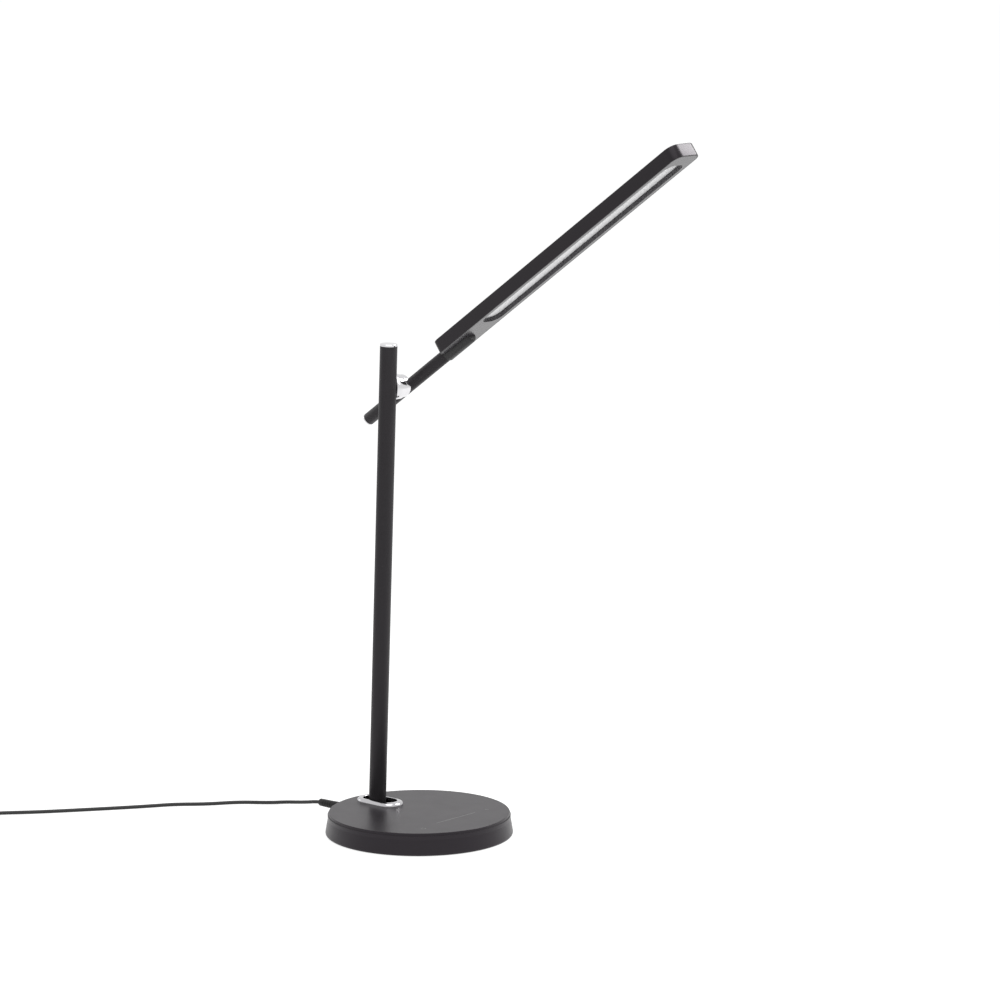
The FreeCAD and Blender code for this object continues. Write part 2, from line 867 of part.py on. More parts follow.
def diffuser():
    return on_head(window_plate(diffuser_margin, window_depth, window_depth + diffuser_thickness))


def led_plane():
    return head_inner_top - spreader_thickness - light_board_thickness


def light_box():
    bottom = window_depth + diffuser_thickness
    outer = window_plate(board_margin, bottom, led_plane())
    inner = window_plate(board_margin - light_box_wall, bottom - overrun, led_plane() + overrun)
    return on_head(outer.cut(inner))


def led_board():
    return on_head(window_plate(board_margin, led_plane(), led_plane() + light_board_thickness))


def led_chips():
    start = head_start + window_start + led_end_margin
    run = window_end - window_start - 2 * led_end_margin
    chips = []
    for step in range(led_count):
        x = start + run * step / (led_count - 1)
        chips.append(block(
            (x - led_length / 2, x + led_length / 2), (-led_width / 2, led_width / 2),
            (led_plane() - led_height, led_plane()),
        ))
    return on_head(Part.makeCompound(chips))


def heat_spreader():
    low = led_plane() + light_board_thickness
    return on_head(window_plate(board_margin, low, low + spreader_thickness))


# Electronics in the base
def control_board():
    half = board_length / 2
    side = board_width / 2
    board = block((touch_x - side, touch_x + side), (-half, half), (board_bottom, board_top))
    chips = []
    for step in range(chip_count):
        y = (step - (chip_count - 1) / 2) * chip_spacing
        chips.append(block(
            (touch_x - chip_width / 2, touch_x + chip_width / 2), (y - chip_length / 2, y + chip_length / 2),
            (board_bottom - chip_height, board_bottom),
        ))
    body = board.fuse(chips)
    holes = [
        rod_z(board_screw_radius + seat_gap, board_bottom - overrun, board_top + overrun, x, y)
        for x, y in board_screw_places()
    ]
    return body.cut(holes)


def board_screws():
    screws = []
    for x, y in board_screw_places():
        head = rod_z(board_screw_head, board_bottom - board_screw_head_height, board_bottom, x, y)
        shaft = rod_z(board_screw_radius, board_bottom, board_top + board_screw_bite, x, y)
        screws.append(head.fuse(shaft).removeSplitter())
    return Part.makeCompound(screws)


def touch_pads():
    pads = []
    for step in range(touch_pad_count):
        y = -touch_reach + 2 * touch_reach * step / (touch_pad_count - 1)
        if abs(abs(y) - board_screw_places()[-1][1]) < touch_pad_length / 2:
            y = math.copysign(touch_reach, y)
        pads.append(block(
            (touch_x - touch_pad_width / 2, touch_x + touch_pad_width / 2),
            (y - touch_pad_length / 2, y + touch_pad_length / 2),
            (board_top, cover_inside_top),
        ))
    return Part.makeCompound(pads)


def power_jack():
    flange_seat = jack_face - jack_flange_thickness
    flange = rod_x(jack_flange_radius, -jack_face, -flange_seat, 0, jack_height)
    body = rod_x(jack_radius, -jack_face, -jack_face + jack_length, 0, jack_height)
    bore = rod_x(jack_bore, -jack_face - overrun, -jack_face + jack_bore_depth, 0, jack_height)
    return flange.fuse(body).removeSplitter().cut(bore)


def jack_nut():
    start = -jack_pad_inner
    nut = hexagon(jack_nut_flats, start, start + jack_nut_thickness, 0, jack_height)
    return nut.cut(rod_x(jack_radius, start - overrun, start + jack_nut_thickness + overrun, 0, jack_height))


# Inner leads
def power_lead():
    height = weight_top + lead_radius + seat_gap
    aside = cheek_outer + pin_head_thickness + well_gap
    crossing = pin_x - bracket_length / 2 + lead_bend
    points = [
        Vec(-jack_face + jack_length, 0, jack_height),
        Vec(crossing - lead_bend, 0, jack_height),
        Vec(crossing, -lead_bend, height),
        Vec(crossing, -aside - lead_bend, height),
        Vec(pin_x + bracket_length / 2, -aside - 2 * lead_bend, height),
        Vec(0, -aside - lead_bend, height),
        Vec(touch_x - board_width, -chip_spacing / 2 - lead_radius, height),
        Vec(touch_x - chip_width / 2, -chip_spacing / 2, board_bottom - lead_radius),
    ]
    return lead(points)


def lamp_lead():
    height = weight_top + lead_radius + seat_gap
    aside = cheek_outer + pin_head_thickness + well_gap
    points = [
        Vec(pin_x, lead_radius, pin_height),
        Vec(pin_x, aside, pin_height),
        Vec(pin_x + 2 * lead_bend, aside + lead_bend, height),
        Vec(pin_x + bracket_length, aside + lead_bend, height),
        Vec(0, aside, height),
        Vec(touch_x - board_width, chip_spacing / 2 + lead_radius, height),
        Vec(touch_x - chip_width / 2, chip_spacing / 2, board_bottom - lead_radius),
    ]
    return lead(points)


def post_lead():
    side = -post_inner_radius + lead_radius + seat_gap
    low = post_start + spigot_length
    high = pivot_height - post_lead_clearance
    points = [
        Vec(0, 0, 2 * lead_radius + seat_gap),
        Vec(0, 0, low + post_radius),
        Vec(0, side, low + spigot_length + post_radius),
        Vec(0, side, high),
    ]
    return on_post(lead(points))


def arm_lead():
    behind_post = -arm_offset - insert_flat - spring_washer_thickness
    points = [
        Vec(0, behind_post, arm_drop),
        Vec(0, 0, arm_drop),
        Vec(arm_lead_turn, 0, 0),
        Vec(arm_front - seat_gap, 0, 0),
    ]
    return on_arm(lead(points))


def head_lead():
    rise = (arm_front + swivel_collar + pod_bore_front) / 2
    level = head_inner_top - head_drop - lead_radius
    points = [
        Vec(arm_front, 0, 0),
        Vec(rise, 0, 0),
        Vec(rise, 0, level),
        Vec(head_start + window_start - board_margin, 0, level),
    ]
    return on_arm(lead(points))


# Power lead, plug and adapter
def plug_barrel():
    rear = -jack_face
    barrel = rod_x(plug_barrel_radius, rear, rear + plug_barrel_length, 0, jack_height)
    bore = rod_x(plug_barrel_bore, rear, rear + plug_barrel_length + overrun, 0, jack_height)
    return barrel.cut(bore)


def plug_body():
    neck_end = jack_face + plug_neck_length
    body_start = neck_end + plug_shoulder
    outline = [
        Vec(-jack_face, 0, 0),
        Vec(-jack_face, 0, plug_neck_radius),
        Vec(-neck_end, 0, plug_neck_radius),
        Vec(-body_start, 0, plug_body_radius),
        Vec(-plug_end, 0, plug_tail_radius),
        Vec(-plug_end, 0, 0),
    ]
    face = Part.Face(Part.makePolygon(outline + outline[:1]))
    body = face.revolve(Vec(0, 0, 0), Vec(1, 0, 0), 360)
    body = body.makeFillet(plug_edge, edges_at(body, -plug_end, "x"))
    body.translate(Vec(0, 0, jack_height))
    return body


def cord_lead():
    path, radii = tangent_path(cord_points)
    tube = tube_along(path, cord_radius)
    report_tube("cord_lead", tube, path, radii)
    return tube, path.Length


def report_tube(name, tube, path, radii):
    expected = math.pi * cord_radius ** 2 * path.Length
    share = round(tube.Volume / expected, 4)
    print(name, "length", round(path.Length, 1), "volume over section times length", share)
    print(name, "arc radii", [round(r, 1) for r in radii])


def coil_center():
    first = math.radians(coil_heading + 90)
    end = cord_points[-1]
    heading = Vec(math.cos(math.radians(coil_heading)), math.sin(math.radians(coil_heading)), 0)
    outward = Vec(math.cos(first), math.sin(first), 0)
    entry = end + heading * coil_end_run
    return entry - outward * coil_first_radius


def coil_point(quarter):
    step = coil_pitch / 4
    half_turn = coil_reversal_quarters
    inner = coil_first_radius - step * coil_layer_quarters
    if quarter <= coil_layer_quarters:
        radius = coil_first_radius - step * quarter
        height = 0.0
    elif quarter <= coil_layer_quarters + half_turn:
        share = (quarter - coil_layer_quarters) / half_turn
        radius = inner - step * half_turn * (share - share ** 2)
        height = coil_layer_step * (3 * share ** 2 - 2 * share ** 3)
    else:
        radius = inner + step * (quarter - coil_layer_quarters - half_turn)
        height = coil_layer_step
    angle = math.radians(coil_heading + 90 - 90 * quarter)
    return coil_center() + Vec(radius * math.cos(angle), radius * math.sin(angle), height)


def coil_tangent(quarter):
    ahead = coil_point(quarter + coil_sample_share / 2)
    behind = coil_point(quarter - coil_sample_share / 2)
    return (ahead - behind).normalize()


def arc_between(start, corner, end):
    middle = (start + end) / 2
    reach = (corner - start).Length
    half_turn_cosine = (middle - start).Length / reach
    return Part.Arc(start, corner + (middle - corner) / (1 + half_turn_cosine), end).toShape()


def biarc(start, start_way, end, end_way):
    across = end - start
    both = start_way + end_way
    spread = 2 * (1 - start_way.dot(end_way))
    reach = (math.sqrt(across.dot(both) ** 2 + spread * across.dot(across)) - across.dot(both)) / spread
    first_corner = start + start_way * reach
    second_corner = end - end_way * reach
    joint = (first_corner + second_corner) / 2
    return [arc_between(start, first_corner, joint), arc_between(joint, second_corner, end)]


def coil_quarters():
    return coil_layer_quarters + coil_reversal_quarters + coil_top_quarters


def coil_ends():
    final = coil_quarters()
    way = coil_tangent(final - coil_sample_share)
    way.z = 0
    way.normalize()
    return coil_point(final), way


def cord_coil():
    heading = Vec(math.cos(math.radians(coil_heading)), math.sin(math.radians(coil_heading)), 0)
    edges = [Part.LineSegment(cord_points[-1], cord_points[-1] + heading * coil_end_run).toShape()]
    count = coil_quarters()
    ways = [heading] + [coil_tangent(q) for q in range(1, count)] + [coil_ends()[1]]
    for quarter in range(count):
        edges += biarc(coil_point(quarter), ways[quarter], coil_point(quarter + 1), ways[quarter + 1])
    end, way = coil_ends()
    edges.append(Part.LineSegment(end, end + way * coil_end_run).toShape())
    path = Part.Wire(edges)
    tube = tube_along(path, cord_radius)
    report_tube("cord_coil", tube, path, [])
    print("cord_coil least gap to itself", round(coil_self_gap(edges), 3))
    return tube, path.Length


def coil_self_gap(edges):
    points = []
    for edge in edges:
        points += edge.discretize(12)[:-1]
    lengths = [0.0]
    for first, second in zip(points, points[1:]):
        lengths.append(lengths[-1] + (second - first).Length)
    least = coil_first_radius
    for index, point in enumerate(points):
        for other in range(index + 1, len(points)):
            if lengths[other] - lengths[index] > coil_first_radius:
                least = min(least, (points[other] - point).Length)
    return least - 2 * cord_radius


def tail_route():
    end, way = coil_ends()
    start = end + way * coil_end_run
    side = Vec(-way.y, way.x, 0)
    floor = cord_radius + cord_lift
    level = start + way * tail_level_run
    drop = level + way * tail_drop_run
    low = drop + way * tail_floor_run + side * tail_sway
    rise = low + way * tail_rise_run
    final = rise + way * tail_level_run
    places = (start, level, drop, low, rise, final)
    heights = (start.z, start.z, (start.z + floor) / 2, floor, relief_height, relief_height)
    return [Vec(place.x, place.y, height) for place, height in zip(places, heights)]


def cord_tail():
    path, radii = tangent_path(tail_route())
    tube = tube_along(path, cord_radius)
    report_tube("cord_tail", tube, path, radii)
    return tube, path.Length


def adapter_turn():
    route = tail_route()
    way = route[-1] - route[-2]
    return FreeCAD.Rotation(Vec(0, 0, 1), math.degrees(math.atan2(way.y, way.x)))


def on_adapter(shape):
    end = tail_route()[-1]
    return placed(shape, Vec(end.x, end.y, 0), adapter_turn())


def adapter_relief():
    tip = Vec(0, 0, relief_height)
    return on_adapter(Part.makeCone(relief_tip_radius, relief_root_radius, relief_length, tip, Vec(1, 0, 0)))


def adapter_body():
    start = relief_length
    end = relief_length + adapter_length
    body = rounded_plate(start, end, adapter_width, adapter_edge, adapter_edge, 0, adapter_thickness)
    body = body.makeFillet(adapter_rim_edge, edges_at(body, adapter_thickness) + edges_at(body, 0))
    return on_adapter(body)


def adapter_pins():
    pins = []
    x = relief_length + adapter_length - adapter_pin_offset
    for side in (-1, 1):
        y = side * adapter_pin_spacing / 2
        top = adapter_thickness + adapter_pin_length
        pin = rod_z(adapter_pin_radius, adapter_thickness, top, x, y)
        pins.append(pin.makeFillet(adapter_pin_radius - edge_break, edges_at(pin, top)))
    return on_adapter(Part.makeCompound(pins))


def cord_tie():
    radius_in = coil_first_radius - coil_pitch * (coil_layer_quarters + 1) / 4 - cord_radius - tie_gap
    center = coil_center()
    held = coil_point(tie_quarter) - center
    radius_out = math.hypot(held.x, held.y) + cord_radius + tie_gap
    low = tie_thickness
    high = coil_height + coil_layer_step + cord_radius + tie_gap
    outer = block(
        (radius_in - tie_thickness, radius_out + tie_thickness), (-tie_width / 2, tie_width / 2),
        (low - tie_thickness, high + tie_thickness),
    )
    long_edges = [e for e in outer.Edges if e.BoundBox.YLength > tie_width / 2]
    outer = outer.makeFillet(tie_corner, long_edges)
    inner = block((radius_in, radius_out), (-tie_width / 2 - overrun, tie_width / 2 + overrun), (low, high))
    long_edges = [e for e in inner.Edges if e.BoundBox.YLength > tie_width / 2]
    inner = inner.makeFillet(tie_corner - tie_thickness, long_edges)
    turn = FreeCAD.Rotation(Vec(0, 0, 1), math.degrees(math.atan2(held.y, held.x)))
    return placed(outer.cut(inner), Vec(center.x, center.y, 0), turn)


def build():
    lead_tube, lead_length = cord_lead()
    coil_tube, coil_length = cord_coil()
    tail_tube, tail_length = cord_tail()
    print("whole power lead", round(lead_length + coil_length + tail_length, 1))
    return {
        "base_cover": base_cover(),
        "base_bottom_plate": base_bottom_plate(),
        "foot_pad": foot_pad(),
        "base_weight": base_weight(),
        "cover_screws": cover_screws(),
        "slot_trim": slot_trim(),
        "hinge_bracket": hinge_bracket(),
        "bracket_screws": bracket_screws(),
        "hinge_pins": hinge_pins(),
        "hinge_washers": hinge_washers(),
        "control_board": control_board(),
        "board_screws": board_screws(),
        "touch_pads": touch_pads(),
        "power_jack": power_jack(),
        "jack_nut": jack_nut(),
        "power_lead": power_lead(),
        "lamp_lead": lamp_lead(),
        "post_knuckle": post_knuckle(),
        "post_tube": post_tube(),
        "post_cap": post_cap(),
        "post_insert": post_insert(),
        "post_lead": post_lead(),
        "joint_drum": joint_drum(),
        "drum_screws": drum_screws(),
        "brake_washer": brake_washer(),
        "joint_hub": joint_hub(),
        "joint_axle": joint_axle(),
        "spring_washer": spring_washer(),
        "axle_nut": axle_nut(),
        "arm_tube": arm_tube(),
        "arm_end_cap": arm_end_cap(),
        "arm_lead": arm_lead(),
        "swivel_plug": swivel_plug(),
        "swivel_pod": swivel_pod(),
        "swivel_screw": swivel_screw(),
        "pod_screws": pod_screws(),
        "head_housing": head_housing(),
        "head_frame": head_frame(),
        "diffuser": diffuser(),
        "light_box": light_box(),
        "led_board": led_board(),
        "led_chips": led_chips(),
        "heat_spreader": heat_spreader(),
        "head_lead": head_lead(),
        "plug_barrel": plug_barrel(),
        "plug_body": plug_body(),
        "cord_lead": lead_tube,
        "cord_coil": coil_tube,
        "cord_tail": tail_tube,
        "cord_tie": cord_tie(),
        "adapter_relief": adapter_relief(),
        "adapter_body": adapter_body(),
        "adapter_pins": adapter_pins(),
    }


os.makedirs("parts", exist_ok=True)
for node, shape in build().items():
    if not shape.isValid():
        print("not valid:", node)
    shape.exportStep("parts/" + node + ".step")
    print(node, len(shape.Solids), "solids, volume", round(shape.Volume, 1))
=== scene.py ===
# %% [markdown]
# # A desk lamp with a touch base, dressed over its engineering model
#
# The engineering model of this lamp is exact but plain: every tube, cap and screw is there as a solid. This
# script loads it as a fixed frame and then makes what the eye meets first, which is satin black paint,
# polished chrome, a frosted light window and a soft vinyl lead. Loading first matters, because each new
# piece takes its place from the frame and rides on one of its moving bodies.

# %% Load the frame
import math

import bmesh
import bpy
from mathutils import Matrix, Vector


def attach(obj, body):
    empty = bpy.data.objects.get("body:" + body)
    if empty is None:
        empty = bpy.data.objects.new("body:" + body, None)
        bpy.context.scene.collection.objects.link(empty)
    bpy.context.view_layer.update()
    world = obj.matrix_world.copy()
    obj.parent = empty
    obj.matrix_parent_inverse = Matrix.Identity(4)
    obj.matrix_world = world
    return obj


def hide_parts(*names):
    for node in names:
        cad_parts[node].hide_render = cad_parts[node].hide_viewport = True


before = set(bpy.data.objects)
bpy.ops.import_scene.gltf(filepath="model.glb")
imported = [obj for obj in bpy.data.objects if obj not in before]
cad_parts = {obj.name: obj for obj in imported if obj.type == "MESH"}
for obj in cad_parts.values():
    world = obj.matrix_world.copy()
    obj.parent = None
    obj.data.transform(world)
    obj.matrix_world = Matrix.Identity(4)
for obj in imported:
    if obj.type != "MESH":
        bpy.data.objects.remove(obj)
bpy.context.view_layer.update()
MM = 0.001
HAIR = 1e-6

# %% [markdown]
# ## The camera
#
# A product picture of a slim lamp is taken from far away with a long lens, so that the round base stays an
# even ellipse and the tubes stay parallel. The camera stands to the right of the front and looks slightly
# down. Its three directions are worked out from one heading and one drop angle, which is easier to adjust
# than three Euler angles.

# %% Camera
heading = math.radians(41.0)
drop = math.radians(9.943)
right = Vector((math.cos(heading), math.sin(heading), 0))
level = Vector((-math.sin(heading), math.cos(heading), 0))
forward = level * math.cos(drop) - Vector((0, 0, math.sin(drop)))
up = level * math.sin(drop) + Vector((0, 0, math.cos(drop)))

sensor_width, focal_length, far_limit = 36.0, 157.986, 100.0
camera_place = (2.73091, -3.02406, 1.03768)
camera_data = bpy.data.cameras.new("long_lens")
camera_data.sensor_width = sensor_width
camera_data.lens = focal_length
camera_data.clip_end = far_limit
camera = bpy.data.objects.new("long_lens", camera_data)
bpy.context.scene.collection.objects.link(camera)
turn = Matrix((right, up, -forward)).transposed().to_4x4()
camera.matrix_world = Matrix.Translation(camera_place) @ turn
bpy.context.scene.camera = camera
print("camera at", [round(v, 3) for v in camera.location])

# %% [markdown]
# ## The lead as one curve
#
# The lead is a 3.5 mm round vinyl cord. It leaves the plug level, sinks to the desk and runs off in loose
# bends. What the picture doesn't show is put away as two layers of neat turns under a tie, and the last bit
# climbs into the wall adapter. A curve object with a round bevel suits a cord best: its control points are
# the route, the spline makes them smooth, and the thickness is one number. The turns come from a loop over
# angles, because a spiral has a rule and needs no list.

# %% Route of the lead
cord_radius = 1.75 * MM
straight_step = 3.6 * MM
plug_end = Vector((-129.7, 0, 0)) * MM
route = [
    (0, 0, 10.0), (-6.0, 0, 9.4), (-16.3, -0.5, 7.4), (-30.0, 0.3, 4.9), (-45.3, 0.2, 2.7),
    (-59.8, -11.6, 1.8), (-83.5, -28.4, 1.8), (-100.8, -54.8, 1.8), (-124.3, -76.1, 1.8),
    (-138.1, -98.4, 1.8), (-154.0, -121.0, 1.8), (-177.3, -152.6, 1.8), (-201.5, -184.5, 1.8),
    (-224.5, -214.0, 2.6), (-243.4, -239.2, 2.6),
]
points = [plug_end + Vector(point) * MM for point in route]

turn_start = math.radians(-126.87)
first_radius, pitch, layer_step = 28.2 * MM, 4.15 * MM, 4.1 * MM
layer_quarters, climb_quarters, top_quarters = 15, 2, 16
entry = points[-1] + Vector((math.cos(turn_start), math.sin(turn_start), 0)) * straight_step
outward = Vector((math.cos(turn_start + math.pi / 2), math.sin(turn_start + math.pi / 2), 0))
coil_center = entry - outward * first_radius


def coil_point(quarter):
    """The place on the coil after a number of quarter turns: inwards below, a climb, then outwards on top."""
    inner = first_radius - pitch / 4 * layer_quarters
    if quarter <= layer_quarters:
        radius, height = first_radius - pitch / 4 * quarter, 0
    elif quarter <= layer_quarters + climb_quarters:
        done = (quarter - layer_quarters) / climb_quarters
        radius = inner - pitch / 4 * climb_quarters * (done - done ** 2)
        height = layer_step * (3 * done ** 2 - 2 * done ** 3)
    else:
        radius = inner + pitch / 4 * (quarter - layer_quarters - climb_quarters)
        height = layer_step
    angle = turn_start + math.pi / 2 - math.pi / 2 * quarter
    return coil_center + Vector((radius * math.cos(angle), radius * math.sin(angle), height))


quarters = layer_quarters + climb_quarters + top_quarters
steps_per_quarter = 6
coil = [coil_point(step / steps_per_quarter) for step in range(quarters * steps_per_quarter + 1)]
print("turns in the coil:", quarters / 4, "control points:", len(coil))

# %% [markdown]
# The tail leaves the top layer of the coil along its last direction. It steps down to the desk, bows a
# little to one side and rises to the height of the adapter's sleeve. Its last point lies inside the
# adapter, because a real cord runs on through the sleeve. Working it all out from the coil's end keeps the
# two joined.

# %% Tail of the lead
last_way = coil_point(quarters) - coil_point(quarters - 0.001)
last_way = Vector((last_way.x, last_way.y, 0)).normalized()
aside = Vector((-last_way.y, last_way.x, 0))
leave = coil[-1] + last_way * straight_step
tail_plan = [(0, 0), (12, 0), (28, 0), (48, 3), (65, 3), (77, 3), (113, 3)]
tail_heights = [6.7, 6.7, 4.25, 1.8, 9.0, 9.0, 9.0]
tail = []
for (along, sideways), height in zip(tail_plan, tail_heights):
    place = leave + last_way * along * MM + aside * sideways * MM
    tail.append(Vector((place.x, place.y, height * MM)))
adapter_place = Vector((tail[5].x, tail[5].y, 0))
adapter_turn = Matrix.Rotation(math.atan2(last_way.y, last_way.x), 4, "Z")
adapter_frame = Matrix.Translation(adapter_place) @ adapter_turn

cord_points = points + coil + tail
cord_data = bpy.data.curves.new("cord", "CURVE")
cord_data.dimensions = "3D"
spline = cord_data.splines.new("NURBS")
spline.points.add(len(cord_points) - 1)
for knot, place in zip(spline.points, cord_points):
    knot.co = (*place, 1)
spline.order_u = 3
spline.use_endpoint_u = True
spline.resolution_u = 6
cord_data.bevel_depth = cord_radius
cord_data.bevel_resolution = 5
cord_data.use_fill_caps = True
cord = bpy.data.objects.new("cord", cord_data)
bpy.context.scene.collection.objects.link(cord)
print("control points of the cord:", len(cord_points))

# %% [markdown]
# ## Floor, light and surroundings
#
# The picture is a cut-out on white, lit from all sides. A white look that needs no strong lamp comes from
# the floor's own material: what the camera or a mirror sees of it is almost white by emission, and a thin
# diffuse share on top still darkens where the lamp shades it. Light that bounces off it onto the lamp uses
# a plain diffuse floor. The Light Path node tells the two apart.

# %% Helpers for node trees
class Wire:
    """One output of a node. Arithmetic between wires and numbers adds Math nodes to the tree."""

    def __init__(self, tree, socket):
        self.tree = tree
        self.socket = socket

    def math(self, operation, first, second):
        return add_node(self.tree, "ShaderNodeMath", {"operation": operation}, {0: first, 1: second})

    def __add__(self, other):
        return self.math("ADD", self, other)

    def __radd__(self, other):
        return self.math("ADD", other, self)

    def __sub__(self, other):
        return self.math("SUBTRACT", self, other)

    def __rsub__(self, other):
        return self.math("SUBTRACT", other, self)

    def __mul__(self, other):
        return self.math("MULTIPLY", self, other)

    def __rmul__(self, other):
        return self.math("MULTIPLY", other, self)

    def most(self, other):
        return self.math("MAXIMUM", self, other)


def add_node(tree, kind, settings=None, inputs=None, output=0):
    """Adds one node: its settings first, then a value or a wire for each named or numbered input."""
    node = tree.nodes.new(kind)
    for name, value in (settings or {}).items():
        setattr(node, name, value)
    for name, value in (inputs or {}).items():
        if isinstance(value, Wire):
            tree.links.new(value.socket, node.inputs[name])
        else:
            node.inputs[name].default_value = value
    return Wire(tree, node.outputs[output]) if len(node.outputs) else node


def seen_directly(tree):
    """1 for rays from the camera, a mirror or glass, 0 for light that lands on the lamp."""
    camera_ray = add_node(tree, "ShaderNodeLightPath")
    path = camera_ray.socket.node
    glossy_ray = Wire(tree, path.outputs["Is Glossy Ray"])
    glass_ray = Wire(tree, path.outputs["Is Transmission Ray"])
    return camera_ray.most(glossy_ray).most(glass_ray)


# %% Floor
floor_radius, white_strength = 20, 0.86
bpy.ops.object.select_all(action="DESELECT")
bpy.ops.mesh.primitive_circle_add(vertices=64, radius=floor_radius, fill_type="NGON", location=(0, 0, 0))
floor = bpy.context.object
floor.name = "studio_floor"
floor_material = bpy.data.materials.new("studio_floor")
floor_material.use_nodes = True
tree = floor_material.node_tree
tree.nodes.remove(tree.nodes["Principled BSDF"])
bounce = add_node(tree, "ShaderNodeBsdfDiffuse", {}, {"Color": (0.74, 0.74, 0.745, 1)})
glow = add_node(tree, "ShaderNodeEmission", {}, {"Color": (1, 1, 1, 1), "Strength": white_strength})
shade = add_node(tree, "ShaderNodeBsdfDiffuse", {}, {"Color": (0.32, 0.32, 0.32, 1)})
white = add_node(tree, "ShaderNodeAddShader", {}, {0: glow, 1: shade})
whole = add_node(tree, "ShaderNodeMixShader", {}, {0: seen_directly(tree), 1: bounce, 2: white})
tree.links.new(whole.socket, tree.nodes["Material Output"].inputs["Surface"])
floor.data.materials.append(floor_material)
print("floor radius", floor_radius)

# %% [markdown]
# The world is the far white wall of the studio. Mirrors and the camera see it at full white, while the
# light that it throws on the lamp is weaker, so that black paint stays black. Four large soft lamps give
# the shapes their modelling: one overhead, one low from the left, one behind to the right, which is what
# the end of the light bar mirrors towards the camera, and a wide one in front, high up, for the bar's near
# wall and tip.

# %% World
world = bpy.data.worlds.new("studio")
bpy.context.scene.world = world
world.use_nodes = True
tree = world.node_tree
tree.nodes.clear()
seen = add_node(tree, "ShaderNodeBackground", {}, {"Color": (1, 1, 1, 1), "Strength": 1.0})
thrown = add_node(tree, "ShaderNodeBackground", {}, {"Color": (1, 1, 1, 1), "Strength": 0.5})
both = add_node(tree, "ShaderNodeMixShader", {}, {0: seen_directly(tree), 1: thrown, 2: seen})
sky = tree.nodes.new("ShaderNodeOutputWorld")
tree.links.new(both.socket, sky.inputs["Surface"])
bpy.context.scene.view_settings.view_transform = "Standard"


def soft_lamp(name, place, target, width, height, power):
    """A rectangular area lamp that faces its target."""
    data = bpy.data.lights.new(name, "AREA")
    data.shape = "RECTANGLE"
    data.size, data.size_y = width, height
    data.energy = power
    lamp = bpy.data.objects.new(name, data)
    bpy.context.scene.collection.objects.link(lamp)
    lamp.location = place
    lamp.rotation_euler = (Vector(target) - Vector(place)).to_track_quat("-Z", "Y").to_euler()
    print(name, "radiance", round(power / (math.pi * width * height), 2))
    return lamp


# %% Lamps of the studio
soft_lamp("overhead", (0.2, -0.3, 2.4), (0.1, 0, 0.2), 1.5, 1.5, 16)
soft_lamp("low_left", (-2.83, -0.55, 1.0), (0, 0, 0.3), 1.4, 1.4, 4)
soft_lamp("behind_right", (0.79, 1.28, 1.56), (0.3, 0.02, 0.66), 0.9, 0.9, 33)
soft_lamp("front_high", (1.26, -1.49, 2.27), (0.3, 0, 0.66), 2.2, 2.2, 17)

# %% [markdown]
# ## Finishes
#
# Each finish is a Principled shader with something that changes over the surface, because nothing real is
# one even colour. Constants such as the specular level are typed on the shader. What varies (tone,
# roughness and a fine bump) comes from noise in object space, so a pattern keeps its real size on every
# piece. One function makes them all.

# %% A finish with varying tone, roughness and bump
finishes = {}


def finish(name, colour, roughness, metallic=0.0, specular=0.5, grain=700.0, tone=0.08, spread=0.05,
           bump=0.02, depth=0.05 * MM, cloud=45.0, **constants):
    """A Principled material whose tone, roughness and bump vary by noise. Scales are in turns per metre."""
    cloud_share = 0.6
    material = bpy.data.materials.new(name)
    material.use_nodes = True
    tree = material.node_tree
    shader = tree.nodes["Principled BSDF"]
    shader.inputs["Metallic"].default_value = metallic
    shader.inputs["Specular IOR Level"].default_value = specular
    for socket, value in constants.items():
        shader.inputs[socket.replace("_", " ")].default_value = value
    place = add_node(tree, "ShaderNodeTexCoord", output=3)
    clouds = add_node(tree, "ShaderNodeTexNoise", {}, {"Vector": place, "Scale": cloud, "Detail": 3.0})
    grains = add_node(tree, "ShaderNodeTexNoise", {}, {"Vector": place, "Scale": grain, "Detail": 2.0})
    mask = clouds * cloud_share + grains * (1 - cloud_share)
    dark = tuple(c * (1 - tone) for c in colour) + (1,)
    light = tuple(min(1.0, c * (1 + tone)) for c in colour) + (1,)
    base = add_node(tree, "ShaderNodeMix", {"data_type": "RGBA"}, {0: mask, 6: dark, 7: light}, output=2)
    tree.links.new(base.socket, shader.inputs["Base Color"])
    rough = (mask - 0.5) * (2 * spread) + roughness
    tree.links.new(rough.socket, shader.inputs["Roughness"])
    if bump:
        relief = add_node(tree, "ShaderNodeBump", {}, {"Strength": bump, "Distance": depth, "Height": grains})
        tree.links.new(relief.socket, shader.inputs["Normal"])
    finishes[name] = material
    return material


# %% [markdown]
# ### Painted black
#
# The tubes and the light bar are aluminium and steel with a satin black powder coat: nearly no colour of
# its own, a thin reflection, and a very fine orange-peel. The base is moulded plastic with a slightly
# stronger spark-eroded texture that scatters grazing light, which is why its top looks grey from the side.

# %% Black finishes
violet_sheen = (1.0, 0.91, 1.0, 1)
tube_paint = finish("tube_paint", (0.026, 0.0246, 0.0262), 0.42, specular=0.16, grain=1400, bump=0.06,
                    Specular_Tint=violet_sheen)
bar_paint = finish("bar_paint", (0.0080, 0.0073, 0.0081), 0.31, specular=0.28, grain=1400, bump=0.035,
                   Specular_Tint=violet_sheen)
base_paint = finish("base_plastic", (0.0086, 0.0071, 0.0090), 0.36, specular=0.32, grain=1800, bump=0.08,
                    Specular_Tint=violet_sheen)
bezel_paint = finish("bezel_plastic", (0.034, 0.031, 0.036), 0.27, specular=0.75, grain=1700, bump=0.06)
pod_paint = finish("pod_plastic", (0.024, 0.0232, 0.0242), 0.45, specular=0.3, grain=1700, bump=0.05)
print("black finishes:", len(finishes))

